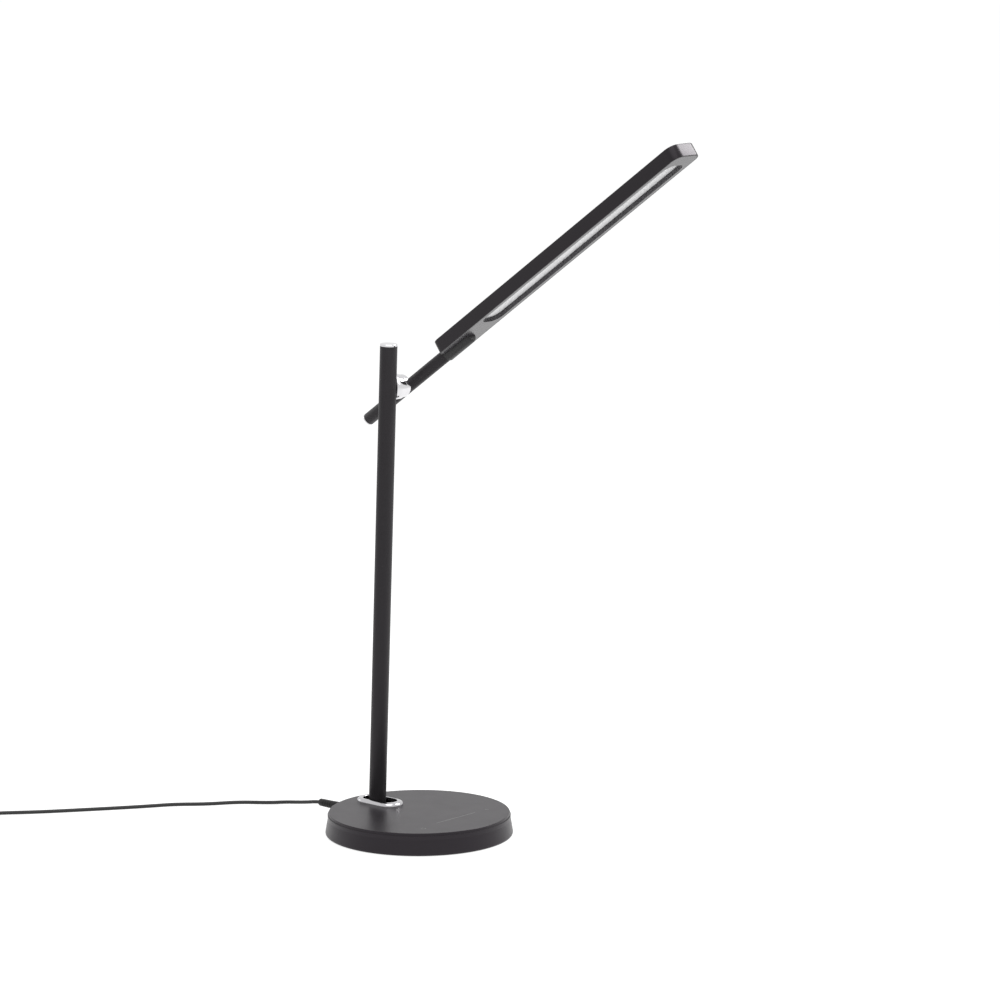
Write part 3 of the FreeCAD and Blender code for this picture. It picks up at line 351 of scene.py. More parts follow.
# %% [markdown]
# ### Chrome, opal and vinyl
#
# Polished chrome has no colour variation worth seeing, but its roughness wanders a little where fingers and
# polishing cloths have been. The light window is frosted white plastic, half matt. Vinyl of the lead is dark
# grey rather than black, with soft roughness.

# %% Bright and soft finishes
chrome = finish("polished_chrome", (0.66, 0.655, 0.67), 0.08, metallic=1.0, grain=160, tone=0.01,
                spread=0.03, bump=0)
satin_chrome = finish("satin_chrome", (0.51, 0.505, 0.52), 0.15, metallic=1.0, grain=160, tone=0.02,
                      spread=0.04, bump=0)
opal = finish("frosted_window", (0.88, 0.88, 0.885), 0.5, grain=500, tone=0.012, bump=0.01, cloud=14)
vinyl = finish("lead_vinyl", (0.013, 0.013, 0.0135), 0.5, grain=900, bump=0.05, specular=0.4)
plug_vinyl = finish("plug_vinyl", (0.0085, 0.0082, 0.0085), 0.45, grain=900, bump=0.06, specular=0.26)
adapter_plastic = finish("adapter_plastic", (0.014, 0.014, 0.0145), 0.46, grain=1500, bump=0.12, specular=0.4)
tie_plastic = finish("tie_plastic", (0.012, 0.012, 0.012), 0.55, grain=1200, bump=0.08)
rubber = finish("foot_rubber", (0.011, 0.011, 0.011), 0.75, grain=1500, tone=0.15, bump=0.2, specular=0.3)
print("finishes so far:", len(finishes))

# %% [markdown]
# ### Metals and plastics inside
#
# The socket, hinge and boards show through the slot and from below, or when a piece is taken apart. Turned
# steel, brass, cast iron, the green board and the foam pads each get their own tone and grain.

# %% Inner finishes
steel = finish("turned_steel", (0.52, 0.52, 0.53), 0.32, metallic=1.0, grain=600, tone=0.06, spread=0.08,
               bump=0.03)
dark_steel = finish("dark_steel", (0.30, 0.30, 0.31), 0.42, metallic=1.0, grain=500, tone=0.1, spread=0.1,
                    bump=0.05)
brass = finish("turned_brass", (0.71, 0.52, 0.22), 0.3, metallic=1.0, grain=700, tone=0.05, spread=0.07,
               bump=0.03)
pin_metal = finish("plated_pins", (0.72, 0.71, 0.68), 0.2, metallic=1.0, grain=500, tone=0.03, spread=0.05,
                   bump=0.01)
iron = finish("cast_iron", (0.075, 0.073, 0.07), 0.7, metallic=0.4, grain=900, tone=0.3, bump=0.4,
              depth=0.2 * MM)
plate = finish("plate_paint", (0.010, 0.010, 0.0102), 0.55, grain=1300, bump=0.12)
nylon = finish("washer_nylon", (0.74, 0.74, 0.71), 0.45, grain=900, bump=0.03)
pale_ring = finish("brake_plastic", (0.75, 0.75, 0.74), 0.45, grain=900, bump=0.04)
board = finish("board_lacquer", (0.014, 0.11, 0.045), 0.3, grain=350, tone=0.25, bump=0.05)
foam = finish("pad_foam", (0.05, 0.05, 0.052), 0.9, grain=2200, tone=0.4, bump=0.6, depth=0.2 * MM)
white_plastic = finish("box_plastic", (0.82, 0.82, 0.82), 0.3, grain=500, tone=0.02, bump=0.01)
led_yellow = finish("led_phosphor", (0.9, 0.68, 0.12), 0.4, grain=1500, tone=0.08, bump=0.05)
aluminium = finish("rolled_aluminium", (0.7, 0.7, 0.71), 0.35, metallic=1.0, grain=400, tone=0.04, bump=0.03)
print("finishes in all:", len(finishes))

# %% Finishes of the carried nodes
carried = {
    steel: ["cover_screws", "bracket_screws", "hinge_pins", "board_screws", "drum_screws", "pod_screws",
            "swivel_screw", "jack_nut", "axle_nut", "spring_washer", "joint_axle", "plug_barrel"],
    dark_steel: ["hinge_bracket", "post_knuckle", "post_insert"],
    brass: ["swivel_plug"],
    iron: ["base_weight"],
    plate: ["base_bottom_plate"],
    rubber: ["foot_pad"],
    nylon: ["hinge_washers"],
    board: ["control_board"],
    foam: ["touch_pads"],
    white_plastic: ["light_box", "led_board"],
    led_yellow: ["led_chips"],
    aluminium: ["heat_spreader"],
    vinyl: ["power_lead", "lamp_lead", "post_lead", "arm_lead", "head_lead"],
    plug_vinyl: ["power_jack"],
}


def dress(node, material):
    """Gives a CAD node its finish by filling its material slots."""
    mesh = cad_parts[node].data
    if not mesh.materials:
        mesh.materials.append(material)
    for index in range(len(mesh.materials)):
        mesh.materials[index] = material


for material, nodes in carried.items():
    for node in nodes:
        dress(node, material)
print("carried nodes dressed:", sum(len(nodes) for nodes in carried.values()))

# %% [markdown]
# ## Tools for modelling
#
# Every visible piece starts as a primitive on the workbench, which is the world's origin with the piece's
# own length along an axis. There it is shaped in edit mode, and only then is it carried to its place on the
# lamp by one matrix. Working square to the axes keeps every selection rule simple, such as all edges in the
# top plane.

# %% Selecting by place
def work_on(piece):
    """Makes one piece the only selected and active one, in object mode."""
    if bpy.context.object and bpy.context.object.mode != "OBJECT":
        bpy.ops.object.mode_set(mode="OBJECT")
    bpy.ops.object.select_all(action="DESELECT")
    piece.select_set(True)
    bpy.context.view_layer.objects.active = piece


def pick(piece, kind, test):
    """In edit mode, selects only the faces, edges or vertices that pass the test."""
    work_on(piece)
    bpy.ops.object.mode_set(mode="EDIT")
    bpy.ops.mesh.select_mode(type=kind)
    bpy.ops.mesh.select_all(action="DESELECT")
    mesh = bmesh.from_edit_mesh(piece.data)
    items = {"FACE": mesh.faces, "EDGE": mesh.edges, "VERT": mesh.verts}[kind]
    chosen = [item for item in items if test(item)]
    for item in chosen:
        item.select_set(True)
    bmesh.update_edit_mesh(piece.data)
    return len(chosen)


def in_plane(axis, place, slack=HAIR):
    """A test for faces or edges whose corners all lie at one place along an axis."""
    return lambda item: all(abs(corner.co[axis] - place) < slack for corner in item.verts)


def runs_along(axis, least=HAIR):
    """A test for edges that cover more than the least distance along an axis."""
    return lambda edge: abs(edge.verts[0].co[axis] - edge.verts[1].co[axis]) > least


def push_up(distance):
    """Extrudes the selected faces upwards, in edit mode."""
    bpy.ops.mesh.extrude_region_move(TRANSFORM_OT_translate={"value": (0, 0, distance)})


def bevel(piece, test, radius, segments):
    """Rounds the edges that pass the test."""
    count = pick(piece, "EDGE", test)
    bpy.ops.mesh.bevel(offset=radius, segments=segments, affect="EDGES")
    bpy.ops.object.mode_set(mode="OBJECT")
    return count


# %% Starting shapes
X, Y, Z = 0, 1, 2
AXIS_TURNS = {X: (0, math.pi / 2, 0), Y: (-math.pi / 2, 0, 0), Z: (0, 0, 0)}


def apply_place(piece):
    """Makes the piece's place, turn and scale part of its mesh."""
    work_on(piece)
    bpy.ops.object.transform_apply(location=True, rotation=True, scale=True)


def rod(name, radius, start, end, axis=Z, aside=(0, 0), sides=96, ends="NGON"):
    """A round bar along one axis from start to end, with aside as its place on the two other axes."""
    place = list(aside)
    place.insert(axis, (start + end) / 2)
    bpy.ops.object.select_all(action="DESELECT")
    bpy.ops.mesh.primitive_cylinder_add(
        vertices=sides, radius=radius, depth=end - start, end_fill_type=ends,
        location=place, rotation=AXIS_TURNS[axis])
    piece = bpy.context.object
    piece.name = name
    apply_place(piece)
    return piece


def cube(name, x_range, y_range, z_range):
    """A block between three pairs of limits."""
    limits = (x_range, y_range, z_range)
    bpy.ops.object.select_all(action="DESELECT")
    bpy.ops.mesh.primitive_cube_add(
        size=1, location=[(low + high) / 2 for low, high in limits],
        scale=[high - low for low, high in limits])
    piece = bpy.context.object
    piece.name = name
    apply_place(piece)
    return piece


def rounded_bar(name, x_range, width, front, rear, z_range, steps=12):
    """A flat bar whose upright corners are rounded, by front at the far end and by rear at the near one."""
    piece = cube(name, x_range, (-width / 2, width / 2), z_range)
    for radius, place in ((front, x_range[1]), (rear, x_range[0])):
        upright = lambda edge: in_plane(X, place)(edge) and runs_along(Z)(edge)
        bevel(piece, upright, min(radius, width / 2 - HAIR), steps)
    return piece


def modify(piece, kind, **settings):
    """Adds one modifier, applies it and leaves the piece as a plain mesh."""
    work_on(piece)
    modifier = piece.modifiers.new(kind.lower(), kind)
    for name, value in settings.items():
        setattr(modifier, name, value)
    bpy.ops.object.modifier_apply(modifier=modifier.name)


def carve(piece, tool, operation="DIFFERENCE"):
    """Cuts or joins a tool shape with a Boolean modifier, then throws the tool away."""
    modify(piece, "BOOLEAN", object=tool, operation=operation, solver="EXACT")
    bpy.data.objects.remove(tool)


def turned(name, stations, axis=Z, sides=64):
    """A lathe piece: a disc that is extruded and scaled from each (place, radius) station to the next."""
    place, radius = stations[0]
    bpy.ops.object.select_all(action="DESELECT")
    bpy.ops.mesh.primitive_circle_add(vertices=sides, radius=radius, fill_type="NGON", location=(0, 0, place))
    piece = bpy.context.object
    piece.name = name
    apply_place(piece)
    bpy.ops.object.mode_set(mode="EDIT")
    bpy.ops.mesh.select_all(action="SELECT")
    for next_place, next_radius in stations[1:]:
        push_up(next_place - place)
        growth = next_radius / radius
        bpy.ops.transform.resize(value=(growth, growth, 1), center_override=(0, 0, next_place))
        place, radius = next_place, next_radius
    bpy.ops.object.mode_set(mode="OBJECT")
    piece.rotation_euler = AXIS_TURNS[axis]
    apply_place(piece)
    return piece


# %% Carrying a piece to its place
def settle(piece, body, material, nodes=(), place=None, angle=32):
    """Moves a finished piece from the bench to its place, cleans its normals, and signs it on to a body."""
    if place is not None:
        piece.matrix_world = place @ piece.matrix_world
    apply_place(piece)
    bpy.ops.object.mode_set(mode="EDIT")
    bpy.ops.mesh.select_all(action="SELECT")
    bpy.ops.mesh.remove_doubles(threshold=1e-7)
    bpy.ops.mesh.normals_make_consistent(inside=False)
    bpy.ops.object.mode_set(mode="OBJECT")
    bpy.ops.object.shade_smooth_by_angle(angle=math.radians(angle))
    piece.data.materials.clear()
    piece.data.materials.append(material)
    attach(piece, body)
    if nodes:
        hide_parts(*nodes)
    low, high = ([round(end(corner.co[i] for corner in piece.data.vertices) / MM, 1) for i in range(3)]
                 for end in (min, max))
    print(piece.name, "faces", len(piece.data.polygons), "mm", low, high)
    return piece


# %% [markdown]
# ## The base shell
#
# The base is a shallow moulded dish, 180 mm across, turned over and closed below by a plate. Its side leans
# in by 3.7 mm. A lathe profile would do, but a cone primitive already has both radii, so only the edges and
# the hollow are left: the top edge is rounded by 0.45 mm and the lower one by 2.4 mm, and the underside is
# inset by a narrow rim and pushed straight up. Narrow inset rings on the side and on top keep the
# roundings' shading from creeping over them. The hollow's wall is upright and the side leans in, so above
# 15.6 mm the hollow stands proud of the side, by 0.7 mm at most. A rim of 2 mm would keep it inside.

# %% Base shell
base_radius, base_top_radius, base_height, rim_lift = 90 * MM, 86.3 * MM, 22 * MM, 0.6 * MM
top_rounding, foot_rounding = 0.45 * MM, 2.4 * MM
roof, rim_width, guard_ring = 2.5 * MM, 0.2 * MM, 0.5 * MM
bpy.ops.object.select_all(action="DESELECT")
bpy.ops.mesh.primitive_cone_add(
    vertices=240, radius1=base_radius, radius2=base_top_radius, depth=base_height - rim_lift,
    location=(0, 0, (base_height + rim_lift) / 2), end_fill_type="NGON")
shell = bpy.context.object
shell.name = "base_shell"
apply_place(shell)
bevel(shell, in_plane(Z, base_height), top_rounding, 8)
bevel(shell, in_plane(Z, rim_lift), foot_rounding, 10)


def tall(face):
    """Tells the faces of the side wall, which run between the two roundings."""
    heights = [corner.co.z for corner in face.verts]
    return max(heights) - min(heights) > base_height / 2


print("wall faces", pick(shell, "FACE", tall))
bpy.ops.mesh.inset(thickness=guard_ring)
pick(shell, "FACE", in_plane(Z, base_height))
bpy.ops.mesh.inset(thickness=guard_ring)
pick(shell, "FACE", in_plane(Z, rim_lift))
bpy.ops.mesh.inset(thickness=rim_width)
push_up(base_height - roof - rim_lift)
bpy.ops.object.mode_set(mode="OBJECT")
print("shell hollow up to", round((base_height - roof) / MM, 2), "mm")

# %% [markdown]
# Two openings are cut by Boolean tools, because they cross the finished rounding: the long slot that the
# post tilts in, and the stepped round hole for the power socket at the back.

# %% Openings of the shell
slot_middle = -50.6 * MM
slot_length, slot_width = 38 * MM, 18.4 * MM


def obround(name, length, width, low, high, middle=slot_middle):
    """A block with fully round ends, along X."""
    x_range = (middle - length / 2, middle + length / 2)
    piece = rounded_bar(name, x_range, width, width / 2, width / 2, (low, high), steps=20)
    work_on(piece)
    bpy.ops.object.mode_set(mode="EDIT")
    bpy.ops.mesh.select_all(action="SELECT")
    bpy.ops.mesh.remove_doubles(threshold=1e-5)
    bpy.ops.object.mode_set(mode="OBJECT")
    return piece


skirt_wall, skirt_gap = 1.5 * MM, 0.1 * MM
skirt = 2 * (skirt_wall + skirt_gap)
slot_cut, ring_cut = (17 * MM, 24 * MM), (17 * MM, 28 * MM)
carve(shell, obround("slot_tool", slot_length + skirt, slot_width + skirt, *slot_cut))
jack_height, jack_hole, flange_hole = 10 * MM, 4.05 * MM, 5.4 * MM
outside, jack_depth, flange_depth = -95 * MM, -70 * MM, -87 * MM
carve(shell, rod("jack_tool", jack_hole, outside, jack_depth, X, (0, jack_height), 48))
carve(shell, rod("flange_tool", flange_hole, outside, flange_depth, X, (0, jack_height), 48))
settle(shell, "base", base_paint, ["base_cover"])

# %% [markdown]
# ## The chrome ring round the slot
#
# A polished oval ring trims the slot. It is what the eye goes to, so its section matters: a crowned outer
# edge that catches the light, a narrow flat on top, and a softened inner lip. It is a rounded block with
# its middle cut out and both rims bevelled.

# %% Slot ring
ring_length, ring_width, ring_rise = 50.6 * MM, 26.4 * MM, 4.2 * MM
ring_crown, ring_lip, skirt_overlap = 3.2 * MM, 0.5 * MM, 1 * MM
ring_straight, rim_reach = 12.1 * MM, 11 * MM
ring_top = base_height + ring_rise
slot_ring = obround("slot_ring", ring_length, ring_width, base_height, ring_top)
skirt_size = (slot_length + 2 * skirt_wall, slot_width + 2 * skirt_wall)
carve(slot_ring, obround("ring_skirt", *skirt_size, base_height - roof, base_height + skirt_overlap), "UNION")
carve(slot_ring, obround("ring_hole", slot_length, slot_width, *ring_cut))


def outer_rim(edge):
    """Tells the top edges whose middles lie on the outer side of the ring's flat top."""
    middle = (edge.verts[0].co + edge.verts[1].co) / 2
    away = math.hypot(max(0.0, abs(middle.x - slot_middle) - ring_straight), middle.y)
    return in_plane(Z, ring_top)(edge) and away > rim_reach


def inner_rim(edge):
    """Tells the top edges round the hole, which also belong to an upright face."""
    return in_plane(Z, ring_top)(edge) and not outer_rim(edge) and len(edge.link_faces) == 2 and any(
        abs(face.normal.z) < 0.5 for face in edge.link_faces)


bevel(slot_ring, outer_rim, ring_crown, 12)
bevel(slot_ring, inner_rim, ring_lip, 5)
settle(slot_ring, "base", satin_chrome, ["slot_trim"])

# %% [markdown]
# ## Post
#
# The post is a 16.6 mm steel tube that leans forward by two degrees. Its frame is the hinge pin in the
# base, turned by the lean, so the tube is made upright on the bench. An open cylinder with a Solidify
# modifier gives a tube with a real wall, and a small bevel on its rims keeps a light edge.

# %% Post tube and cap
lean, pitch_up = math.radians(2.24), math.radians(35.5)
pin_point = Vector((-54.6, 0, 11)) * MM
post_frame = Matrix.Translation(pin_point) @ Matrix.Rotation(lean, 4, "Y")
post_top, pivot_height, post_radius = 458.1 * MM, 415.8 * MM, 8.3 * MM


def tube(name, outer, wall, start, end, axis=Z, aside=(0, 0), sides=96, edge=0.15 * MM):
    """A tube with a wall inside its outer radius and lightly rounded rims."""
    piece = rod(name, outer, start, end, axis, aside, sides, "NOTHING")
    modify(piece, "SOLIDIFY", thickness=wall, offset=-1)
    for place in (start, end):
        bevel(piece, in_plane(axis, place, 2 * HAIR), edge, 2)
    return piece


post_wall, post_foot = 1.2 * MM, 7 * MM
cap_rim, cap_depth, cap_spigot, cap_chamfer = 2 * MM, 10 * MM, 6.8 * MM, 0.3 * MM
post_pipe = tube("post_pipe", post_radius, post_wall, post_foot, post_top - cap_rim)
settle(post_pipe, "post", tube_paint, ["post_tube"], post_frame)

post_crown = turned("post_crown", [
    (post_top - cap_depth, cap_spigot), (post_top - cap_rim, cap_spigot), (post_top - cap_rim, post_radius),
    (post_top - cap_chamfer, post_radius), (post_top, post_radius - cap_chamfer),
], sides=96)
settle(post_crown, "post", chrome, ["post_cap"], post_frame)

# %% [markdown]
# ## The friction joint
#
# Between post and arm sit two chrome discs with a thin pale brake washer between them. The first is scooped
# to fit the round post and doesn't turn, the second carries the arm in a saddle. Both are turned parts, so
# they start as rods across the lamp, get their rims bevelled and are scooped by the tubes they meet. Each
# scoop is 0.15 mm tighter than its tube, because two facetted surfaces at the same place flicker through
# each other.

# %% Joint discs
pivot_point = pin_point + Matrix.Rotation(lean, 3, "Y") @ Vector((0, 0, pivot_height))
pivot_frame = Matrix.Translation(pivot_point) @ Matrix.Rotation(lean, 4, "Y")
arm_offset, arm_drop, arm_radius = 26 * MM, 2.6 * MM, 6 * MM
level_frame = Matrix.Translation(pivot_point) @ Matrix.Rotation(-pitch_up, 4, "Y")
arm_frame = level_frame @ Matrix.Translation((0, arm_offset, -arm_drop))

drum_start, drum_face, hub_start, hub_face = 4.2 * MM, 14.3 * MM, 15.1 * MM, 20.8 * MM
drum_radius, washer_radius, hub_radius = 12 * MM, 10.8 * MM, 11 * MM
disc_edge, drum_shoulder, washer_wall, washer_edge = 0.5 * MM, 5.0 * MM, 7.7 * MM, 0.05 * MM
press, scoop_reach = 0.15 * MM, 15 * MM

post_disc = rod("post_disc", drum_radius, drum_start, drum_face, Y)
bevel(post_disc, in_plane(Y, drum_face), disc_edge, 4)
bevel(post_disc, in_plane(Y, drum_start), drum_shoulder, 12)
carve(post_disc, rod("post_scoop", post_radius - press, -scoop_reach, scoop_reach))
settle(post_disc, "post", chrome, ["joint_drum"], pivot_frame)

brake_ring = tube("brake_ring", washer_radius, washer_wall, drum_face, hub_start, Y, edge=washer_edge)
settle(brake_ring, "post", pale_ring, ["brake_washer"], pivot_frame)

arm_disc = rod("arm_disc", hub_radius, hub_start, hub_face, Y)
bevel(arm_disc, lambda edge: in_plane(Y, hub_start)(edge) or in_plane(Y, hub_face)(edge), disc_edge, 4)
carve(arm_disc, rod("arm_scoop", arm_radius - press, -scoop_reach, scoop_reach, X, (arm_offset, -arm_drop)))
settle(arm_disc, "arm", chrome, ["joint_hub"], level_frame)

# %% [markdown]
# ## Arm
#
# The arm is a thinner tube of the same paint that crosses the post. Its short tail behind the joint ends in
# a small bright cap. Bench axis X is the arm's own line, and the arm frame raises it by 35.5 degrees.

# %% Arm tube and tail cap
arm_wall, arm_tail, arm_end = 1.0 * MM, -61.0 * MM, 86 * MM
tail_end, tail_spigot, spigot_radius = -62.6 * MM, -54.0 * MM, 4.95 * MM
arm_pipe = tube("arm_pipe", arm_radius, arm_wall, arm_tail, arm_end, X)
settle(arm_pipe, "arm", tube_paint, ["arm_tube"], arm_frame)

tail_cap = turned("tail_cap", [
    (tail_end, arm_radius - cap_chamfer), (tail_end + cap_chamfer, arm_radius), (arm_tail, arm_radius),
    (arm_tail, spigot_radius), (tail_spigot, spigot_radius),
], X, 96)
settle(tail_cap, "arm", chrome, ["arm_end_cap"], arm_frame)

# %% [markdown]
# ## Swivel pod
#
# Under the light bar a moulded pod grips the end of the arm. It is a round barrel with a soft nose, bored
# for the arm, on a flange that is screwed inside the bar. The barrel is a rod with one rim bevelled by
# 3 mm, the flange is joined by a Boolean union, and a thinner rod cuts the bore.

# %% Pod
pod_start, pod_end, pod_radius, pod_nose, pod_edge = 63 * MM, 99 * MM, 7 * MM, 3 * MM, 0.25 * MM
before_pod, bore_end, bore_radius = 60 * MM, 95.5 * MM, 6.05 * MM
swivel_pod = rod("swivel_pod_shell", pod_radius, pod_start, pod_end, X)
bevel(swivel_pod, in_plane(X, pod_end), pod_nose, 8)
flange_x, flange_half, flange_z = (70.5 * MM, 92.5 * MM), 13 * MM, (0.8 * MM, 3.0 * MM)
carve(swivel_pod, cube("pod_flange", flange_x, (-flange_half, flange_half), flange_z), "UNION")
carve(swivel_pod, rod("pod_bore", bore_radius, before_pod, bore_end, X))
bevel(swivel_pod, in_plane(X, pod_start), pod_edge, 3)
settle(swivel_pod, "head", pod_paint, ["swivel_pod"], arm_frame)

# %% [markdown]
# ## Light bar
#
# The bar is one flat extrusion, 351.6 mm long, with rounded corners and a crisp rim. Three radii do the
# work: the upright corners in plan, 0.9 mm round the top and 0.4 mm below. Its underside is inset by the
# wall and pushed up, which leaves room for a frame that lies flush inside, and the rear wall is scooped for
# the pod.

# %% Bar housing
head_drop = 0.9 * MM
head_frame = arm_frame @ Matrix.Translation((0, 0, -head_drop))
bar_start, bar_end = 65.4 * MM, 417 * MM
bar_width, bar_height = 36 * MM, 13 * MM
tip_radius, rear_radius = 9.9 * MM, 9.0 * MM
upper_rounding, lower_rounding, top_ring = 0.9 * MM, 0.4 * MM, 0.4 * MM
bar_wall, bar_roof, way_radius, way_end = 1.1 * MM, 1.5 * MM, 7.1 * MM, 69 * MM
light_bar = rounded_bar("light_bar", (bar_start, bar_end), bar_width, tip_radius, rear_radius,
                        (0, bar_height))
bevel(light_bar, in_plane(Z, bar_height), upper_rounding, 5)
bevel(light_bar, in_plane(Z, 0), lower_rounding, 3)
pick(light_bar, "FACE", in_plane(Z, bar_height))
bpy.ops.mesh.inset(thickness=top_ring)
pick(light_bar, "FACE", in_plane(Z, 0))
bpy.ops.mesh.inset(thickness=bar_wall)
push_up(bar_height - bar_roof)
bpy.ops.object.mode_set(mode="OBJECT")
carve(light_bar, rod("pod_way", way_radius, before_pod, way_end, X, (0, head_drop), 64))
settle(light_bar, "head", bar_paint, ["head_housing"], head_frame)

# %% [markdown]
# The frame under the bar holds the window. It starts as a smaller rounded bar, gets a collar that rises
# round the window, and both are opened by one rounded tool. A rod with the pod's nose, a trace wider than
# the pod, makes room for it.

# %% Frame round the window
inset, bezel_height, collar_wall, collar_foot = 1.6 * MM, 1.6 * MM, 1.2 * MM, 1.0 * MM
window_start, window_end, window_corner = 124.5 * MM, 400 * MM, 9.5 * MM
window_width, window_depth = 24.4 * MM, 4.3 * MM
window_cut, pod_play = (-2 * MM, 6 * MM), 0.03 * MM


def window_shape(name, margin, low, high):
    """The window's outline grown by a margin, as a block between two heights."""
    x_range = (window_start - margin, window_end + margin)
    corner = window_corner + margin
    return rounded_bar(name, x_range, window_width + 2 * margin, corner, corner, (low, high))


bezel = rounded_bar("window_frame", (bar_start + inset, bar_end - inset), bar_width - 2 * inset,
                    tip_radius - inset, rear_radius - inset, (0, bezel_height))
carve(bezel, window_shape("collar", collar_wall, collar_foot, window_depth), "UNION")
carve(bezel, window_shape("window_tool", 0, *window_cut))
pod_gap = rod("pod_gap", pod_radius + pod_play, before_pod, pod_end + pod_play, X, (0, head_drop))
bevel(pod_gap, in_plane(X, pod_end + pod_play), pod_nose, 8)
carve(bezel, pod_gap)
settle(bezel, "head", bezel_paint, ["head_frame"], head_frame)

# %% [markdown]
# ## Frosted window
#
# The window is a plain slab of opal plastic that lies on the collar, but its edge is rounded and its face
# is slightly textured. A slab with a bevelled rim is enough, as only its face is seen inside the recess.

# %% Window
window_margin, window_thickness, window_edge = 2 * MM, 2 * MM, 0.3 * MM
window_back = window_depth + window_thickness
opal_window = window_shape("opal_window", window_margin, window_depth, window_back)
bevel(opal_window, in_plane(Z, window_back), window_edge, 2)
settle(opal_window, "head", opal, ["diffuser"], head_frame)

# %% [markdown]
# ## Plug at the base
#
# The low-voltage plug is moulded vinyl: a slim neck against the socket, a shoulder, a slightly tapered grip
# and shallow grooves near the cord. A lathe piece made station by station lets the grooves be written as a
# loop.

# %% Plug
jack_face = 88.2 * MM
grip_start, grip_end, grip_radius, taper = 14, 41.5, 4.1, 0.5
first_groove, groove_count, groove_step, groove_depth = 24.5, 4, 3.2, 0.35
plug_stations = [(0, 3.3), (12, 3.3), (grip_start, grip_radius)]
for groove in range(groove_count):
    start = first_groove + groove_step * groove
    radius = grip_radius - taper * (start - grip_start) / (grip_end - grip_start)
    thin = radius - groove_depth
    plug_stations += [(start, radius), (start + 0.3, thin), (start + 1.2, thin), (start + 1.5, radius)]
plug_stations += [(40.7, 3.6), (41.3, 3.35), (grip_end, 2.8)]
plug = turned("lead_plug", [(-place * MM, radius * MM) for place, radius in plug_stations], X, 48)
plug_frame = Matrix.Translation((-jack_face, 0, jack_height))
settle(plug, "base", plug_vinyl, ["plug_body"], plug_frame)

# %% [markdown]
# ## Wall adapter
#
# Out of the picture lies the small wall adapter: a rounded box with a parting seam, two round pins with
# black sleeves, and a ribbed strain relief where the lead enters. The box is a rounded bar with all rims
# bevelled, and the seam is a shallow groove cut by a thin frame. The ribs are rings of a lathe piece.

# %% Adapter
relief_length, box_length, box_width, box_height = 24 * MM, 70 * MM, 42 * MM, 27 * MM
box_corner, box_rounding = 5 * MM, 2 * MM
seam_low, seam_high, seam_depth, overrun = 17.0 * MM, 17.5 * MM, 0.35 * MM, 1 * MM


def box_shape(name, margin, low, high, steps=12):
    """The adapter's outline grown by a margin, as a block between two heights."""
    x_range = (relief_length - margin, relief_length + box_length + margin)
    corner = box_corner + margin
    return rounded_bar(name, x_range, box_width + 2 * margin, corner, corner, (low, high), steps)


adapter_box = box_shape("adapter_box", 0, 0, box_height, steps=10)
for place in (0, box_height):
    bevel(adapter_box, in_plane(Z, place), box_rounding, 6)
seam_tool = box_shape("seam_tool", overrun, seam_low, seam_high)
carve(seam_tool, box_shape("seam_core", -seam_depth, seam_low - overrun, seam_high + overrun))
carve(adapter_box, seam_tool)
settle(adapter_box, "base", adapter_plastic, ["adapter_body"], adapter_frame)

relief_height, relief_radius, relief_growth = 9 * MM, 2.5, 2.1
first_rib, rib_count, rib_step, relief_end = 2.0, 6, 3.2, 24
relief_stations = [(0, relief_radius), (first_rib, 2.65)]
for rib in range(rib_count):
    start = first_rib + rib_step * rib
    radius = relief_radius + relief_growth * start / relief_end
    relief_stations += [(start + 0.2, radius - 0.5), (start + 1.1, radius - 0.45),
                        (start + 1.3, radius + 0.1), (start + 3.1, radius + 0.25)]
relief_stations += [(21.6, 4.4), (relief_end, 4.6)]
strain_relief = turned(
    "strain_relief", [(place * MM, radius * MM) for place, radius in relief_stations], X, 40)
relief_frame = adapter_frame @ Matrix.Translation((0, 0, relief_height))
settle(strain_relief, "base", plug_vinyl, ["adapter_relief"], relief_frame)

# %% Pins and tie
pins = turned("wall_pins", [
    (27, 2.0), (35.9, 2.0), (36.1, 2.0), (44.3, 2.0), (45.5, 1.5), (46, 0.4),
], sides=40)
pins.scale = (MM, MM, MM)
apply_place(pins)
sleeve = pins.copy()
sleeve.data = pins.data.copy()
bpy.context.scene.collection.objects.link(sleeve)
pins_along, pins_aside, sleeve_end = 84 * MM, 9.3 * MM, 36 * MM
pins.location, sleeve.location = (pins_along, pins_aside, 0), (pins_along, -pins_aside, 0)
work_on(pins)
sleeve.select_set(True)
bpy.ops.object.join()
apply_place(pins)
settle(pins, "base", pin_metal, ["adapter_pins"], adapter_frame)
pins.data.materials.append(adapter_plastic)
for face in pins.data.polygons:
    if face.center.z < sleeve_end:
        face.material_index = 1

tie_play, tied_quarter = 0.25 * MM, 31
radius_in = first_radius - pitch * (layer_quarters + 1) / 4 - cord_radius - tie_play
held = coil_point(tied_quarter) - coil_center
radius_out = math.hypot(held.x, held.y) + cord_radius + tie_play
tie_low, tie_high, tie_wall = 0.55 * MM, 8.7 * MM, 0.55 * MM
tie_half, hole_half, tie_rounding, long_edge = 4.5 * MM, 6 * MM, 1.4 * MM, 1 * MM
tie_reach = (radius_in - tie_wall, radius_out + tie_wall)
tie = cube("coil_tie", tie_reach, (-tie_half, tie_half), (0, tie_high + tie_wall))
bevel(tie, runs_along(Y, long_edge), tie_rounding, 5)
tie_hole = cube("tie_hole", (radius_in, radius_out), (-hole_half, hole_half), (tie_low, tie_high))
bevel(tie_hole, runs_along(Y, long_edge), tie_rounding - tie_wall, 5)
carve(tie, tie_hole)
tie_turn = Matrix.Rotation(math.atan2(held.y, held.x), 4, "Z")
tie_frame = Matrix.Translation((coil_center.x, coil_center.y, 0)) @ tie_turn
settle(tie, "base", tie_plastic, ["cord_tie"], tie_frame)

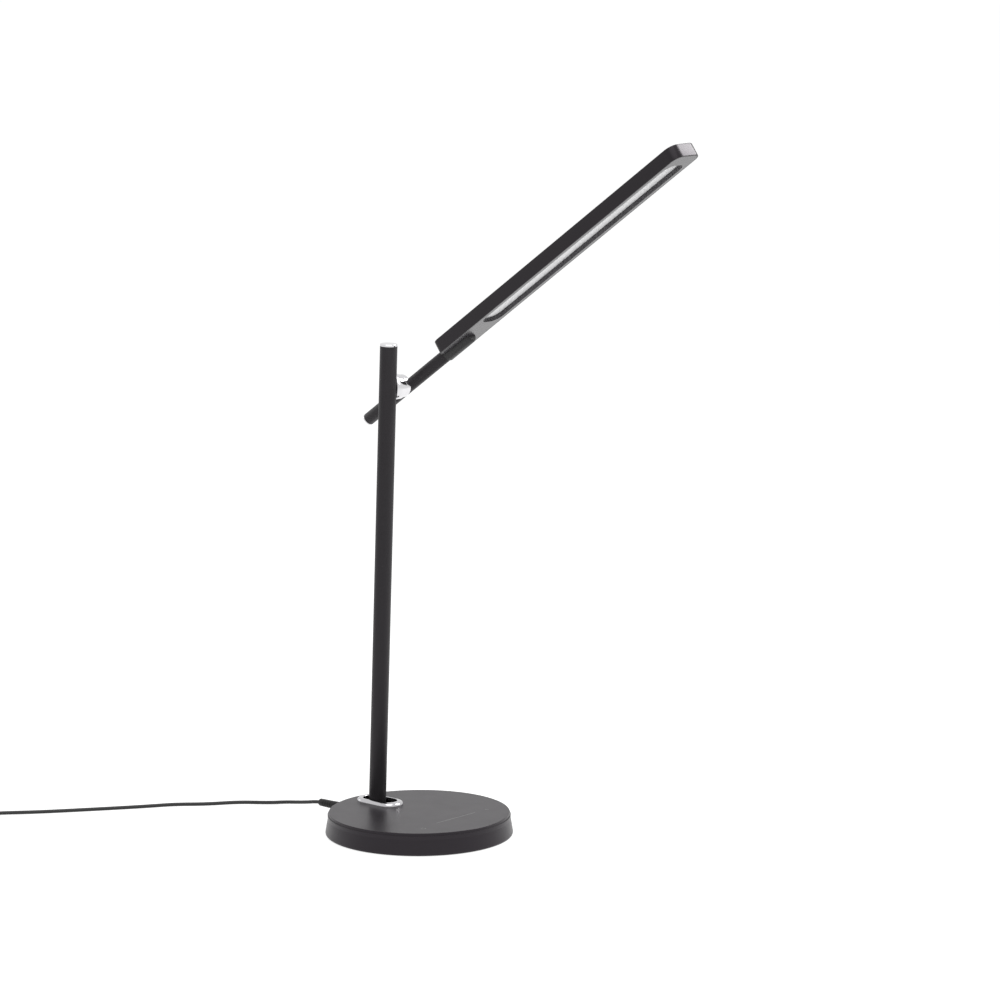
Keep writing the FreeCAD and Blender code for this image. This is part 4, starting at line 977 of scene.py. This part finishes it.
# %% [markdown]
# ## Touch marks
#
# The controls are printed on the base top as hairlines: a power sign, a slider line for the brightness and
# a small sun. Each is a paper-thin raised print, so it shows in raking light too. Arcs are spun from a
# short edge, which is the quickest way to a ring with a gap.

# %% Print
print_material = finish("touch_print", (0.2, 0.2, 0.2), 0.5, grain=900, tone=0.05, bump=0)
print_rise, arc_thickness, line_width, line_corner = 0.06 * MM, 0.05 * MM, 0.4 * MM, 0.1 * MM
print_top = base_height + print_rise


def arc_mark(name, x, y, radius, first, angle):
    """A flat arc, spun from one radial edge and then given thickness."""
    bpy.ops.object.select_all(action="DESELECT")
    bpy.ops.mesh.primitive_plane_add(size=line_width, location=(radius, 0, 0))
    piece = bpy.context.object
    piece.name = name
    apply_place(piece)
    pick(piece, "VERT", lambda corner: corner.co.y > 0)
    bpy.ops.mesh.delete(type="VERT")
    bpy.ops.mesh.select_all(action="SELECT")
    bpy.ops.mesh.spin(steps=32, angle=math.radians(angle), center=(0, 0, 0), axis=(0, 0, 1))
    bpy.ops.object.mode_set(mode="OBJECT")
    modify(piece, "SOLIDIFY", thickness=arc_thickness, offset=0)
    piece.rotation_euler = (0, 0, math.radians(first))
    piece.location = (x, y, print_top - print_rise / 2)
    apply_place(piece)
    return piece


def line_mark(name, x_range, y_range):
    """A flat line with rounded ends."""
    piece = cube(name, x_range, y_range, (base_height, print_top))
    bevel(piece, runs_along(Z), line_corner, 3)
    return piece


power_x, power_y, power_radius, stroke = 48 * MM, -47.6 * MM, 2.2 * MM, 2.8 * MM
slider_x, slider_y = (43.2 * MM, 43.8 * MM), (-24 * MM, 31 * MM)
light_x, light_y, light_radius = 44 * MM, 48 * MM, 1.3 * MM
marks = [
    arc_mark("power_mark", power_x, power_y, power_radius, 200, 300),
    line_mark("power_bar", (power_x - stroke, power_x), (power_y - line_width / 2, power_y + line_width / 2)),
    line_mark("slider_line", slider_x, slider_y),
    arc_mark("light_mark", light_x, light_y, light_radius, 0, 360),
]
for mark in marks:
    settle(mark, "base", print_material)

# %% [markdown]
# ## The cord joins the rest
#
# It stands for the three plain tubes of the engineering model.

# %% Cord
cord_data.materials.append(vinyl)
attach(cord, "base")
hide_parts("cord_lead", "cord_coil", "cord_tail")
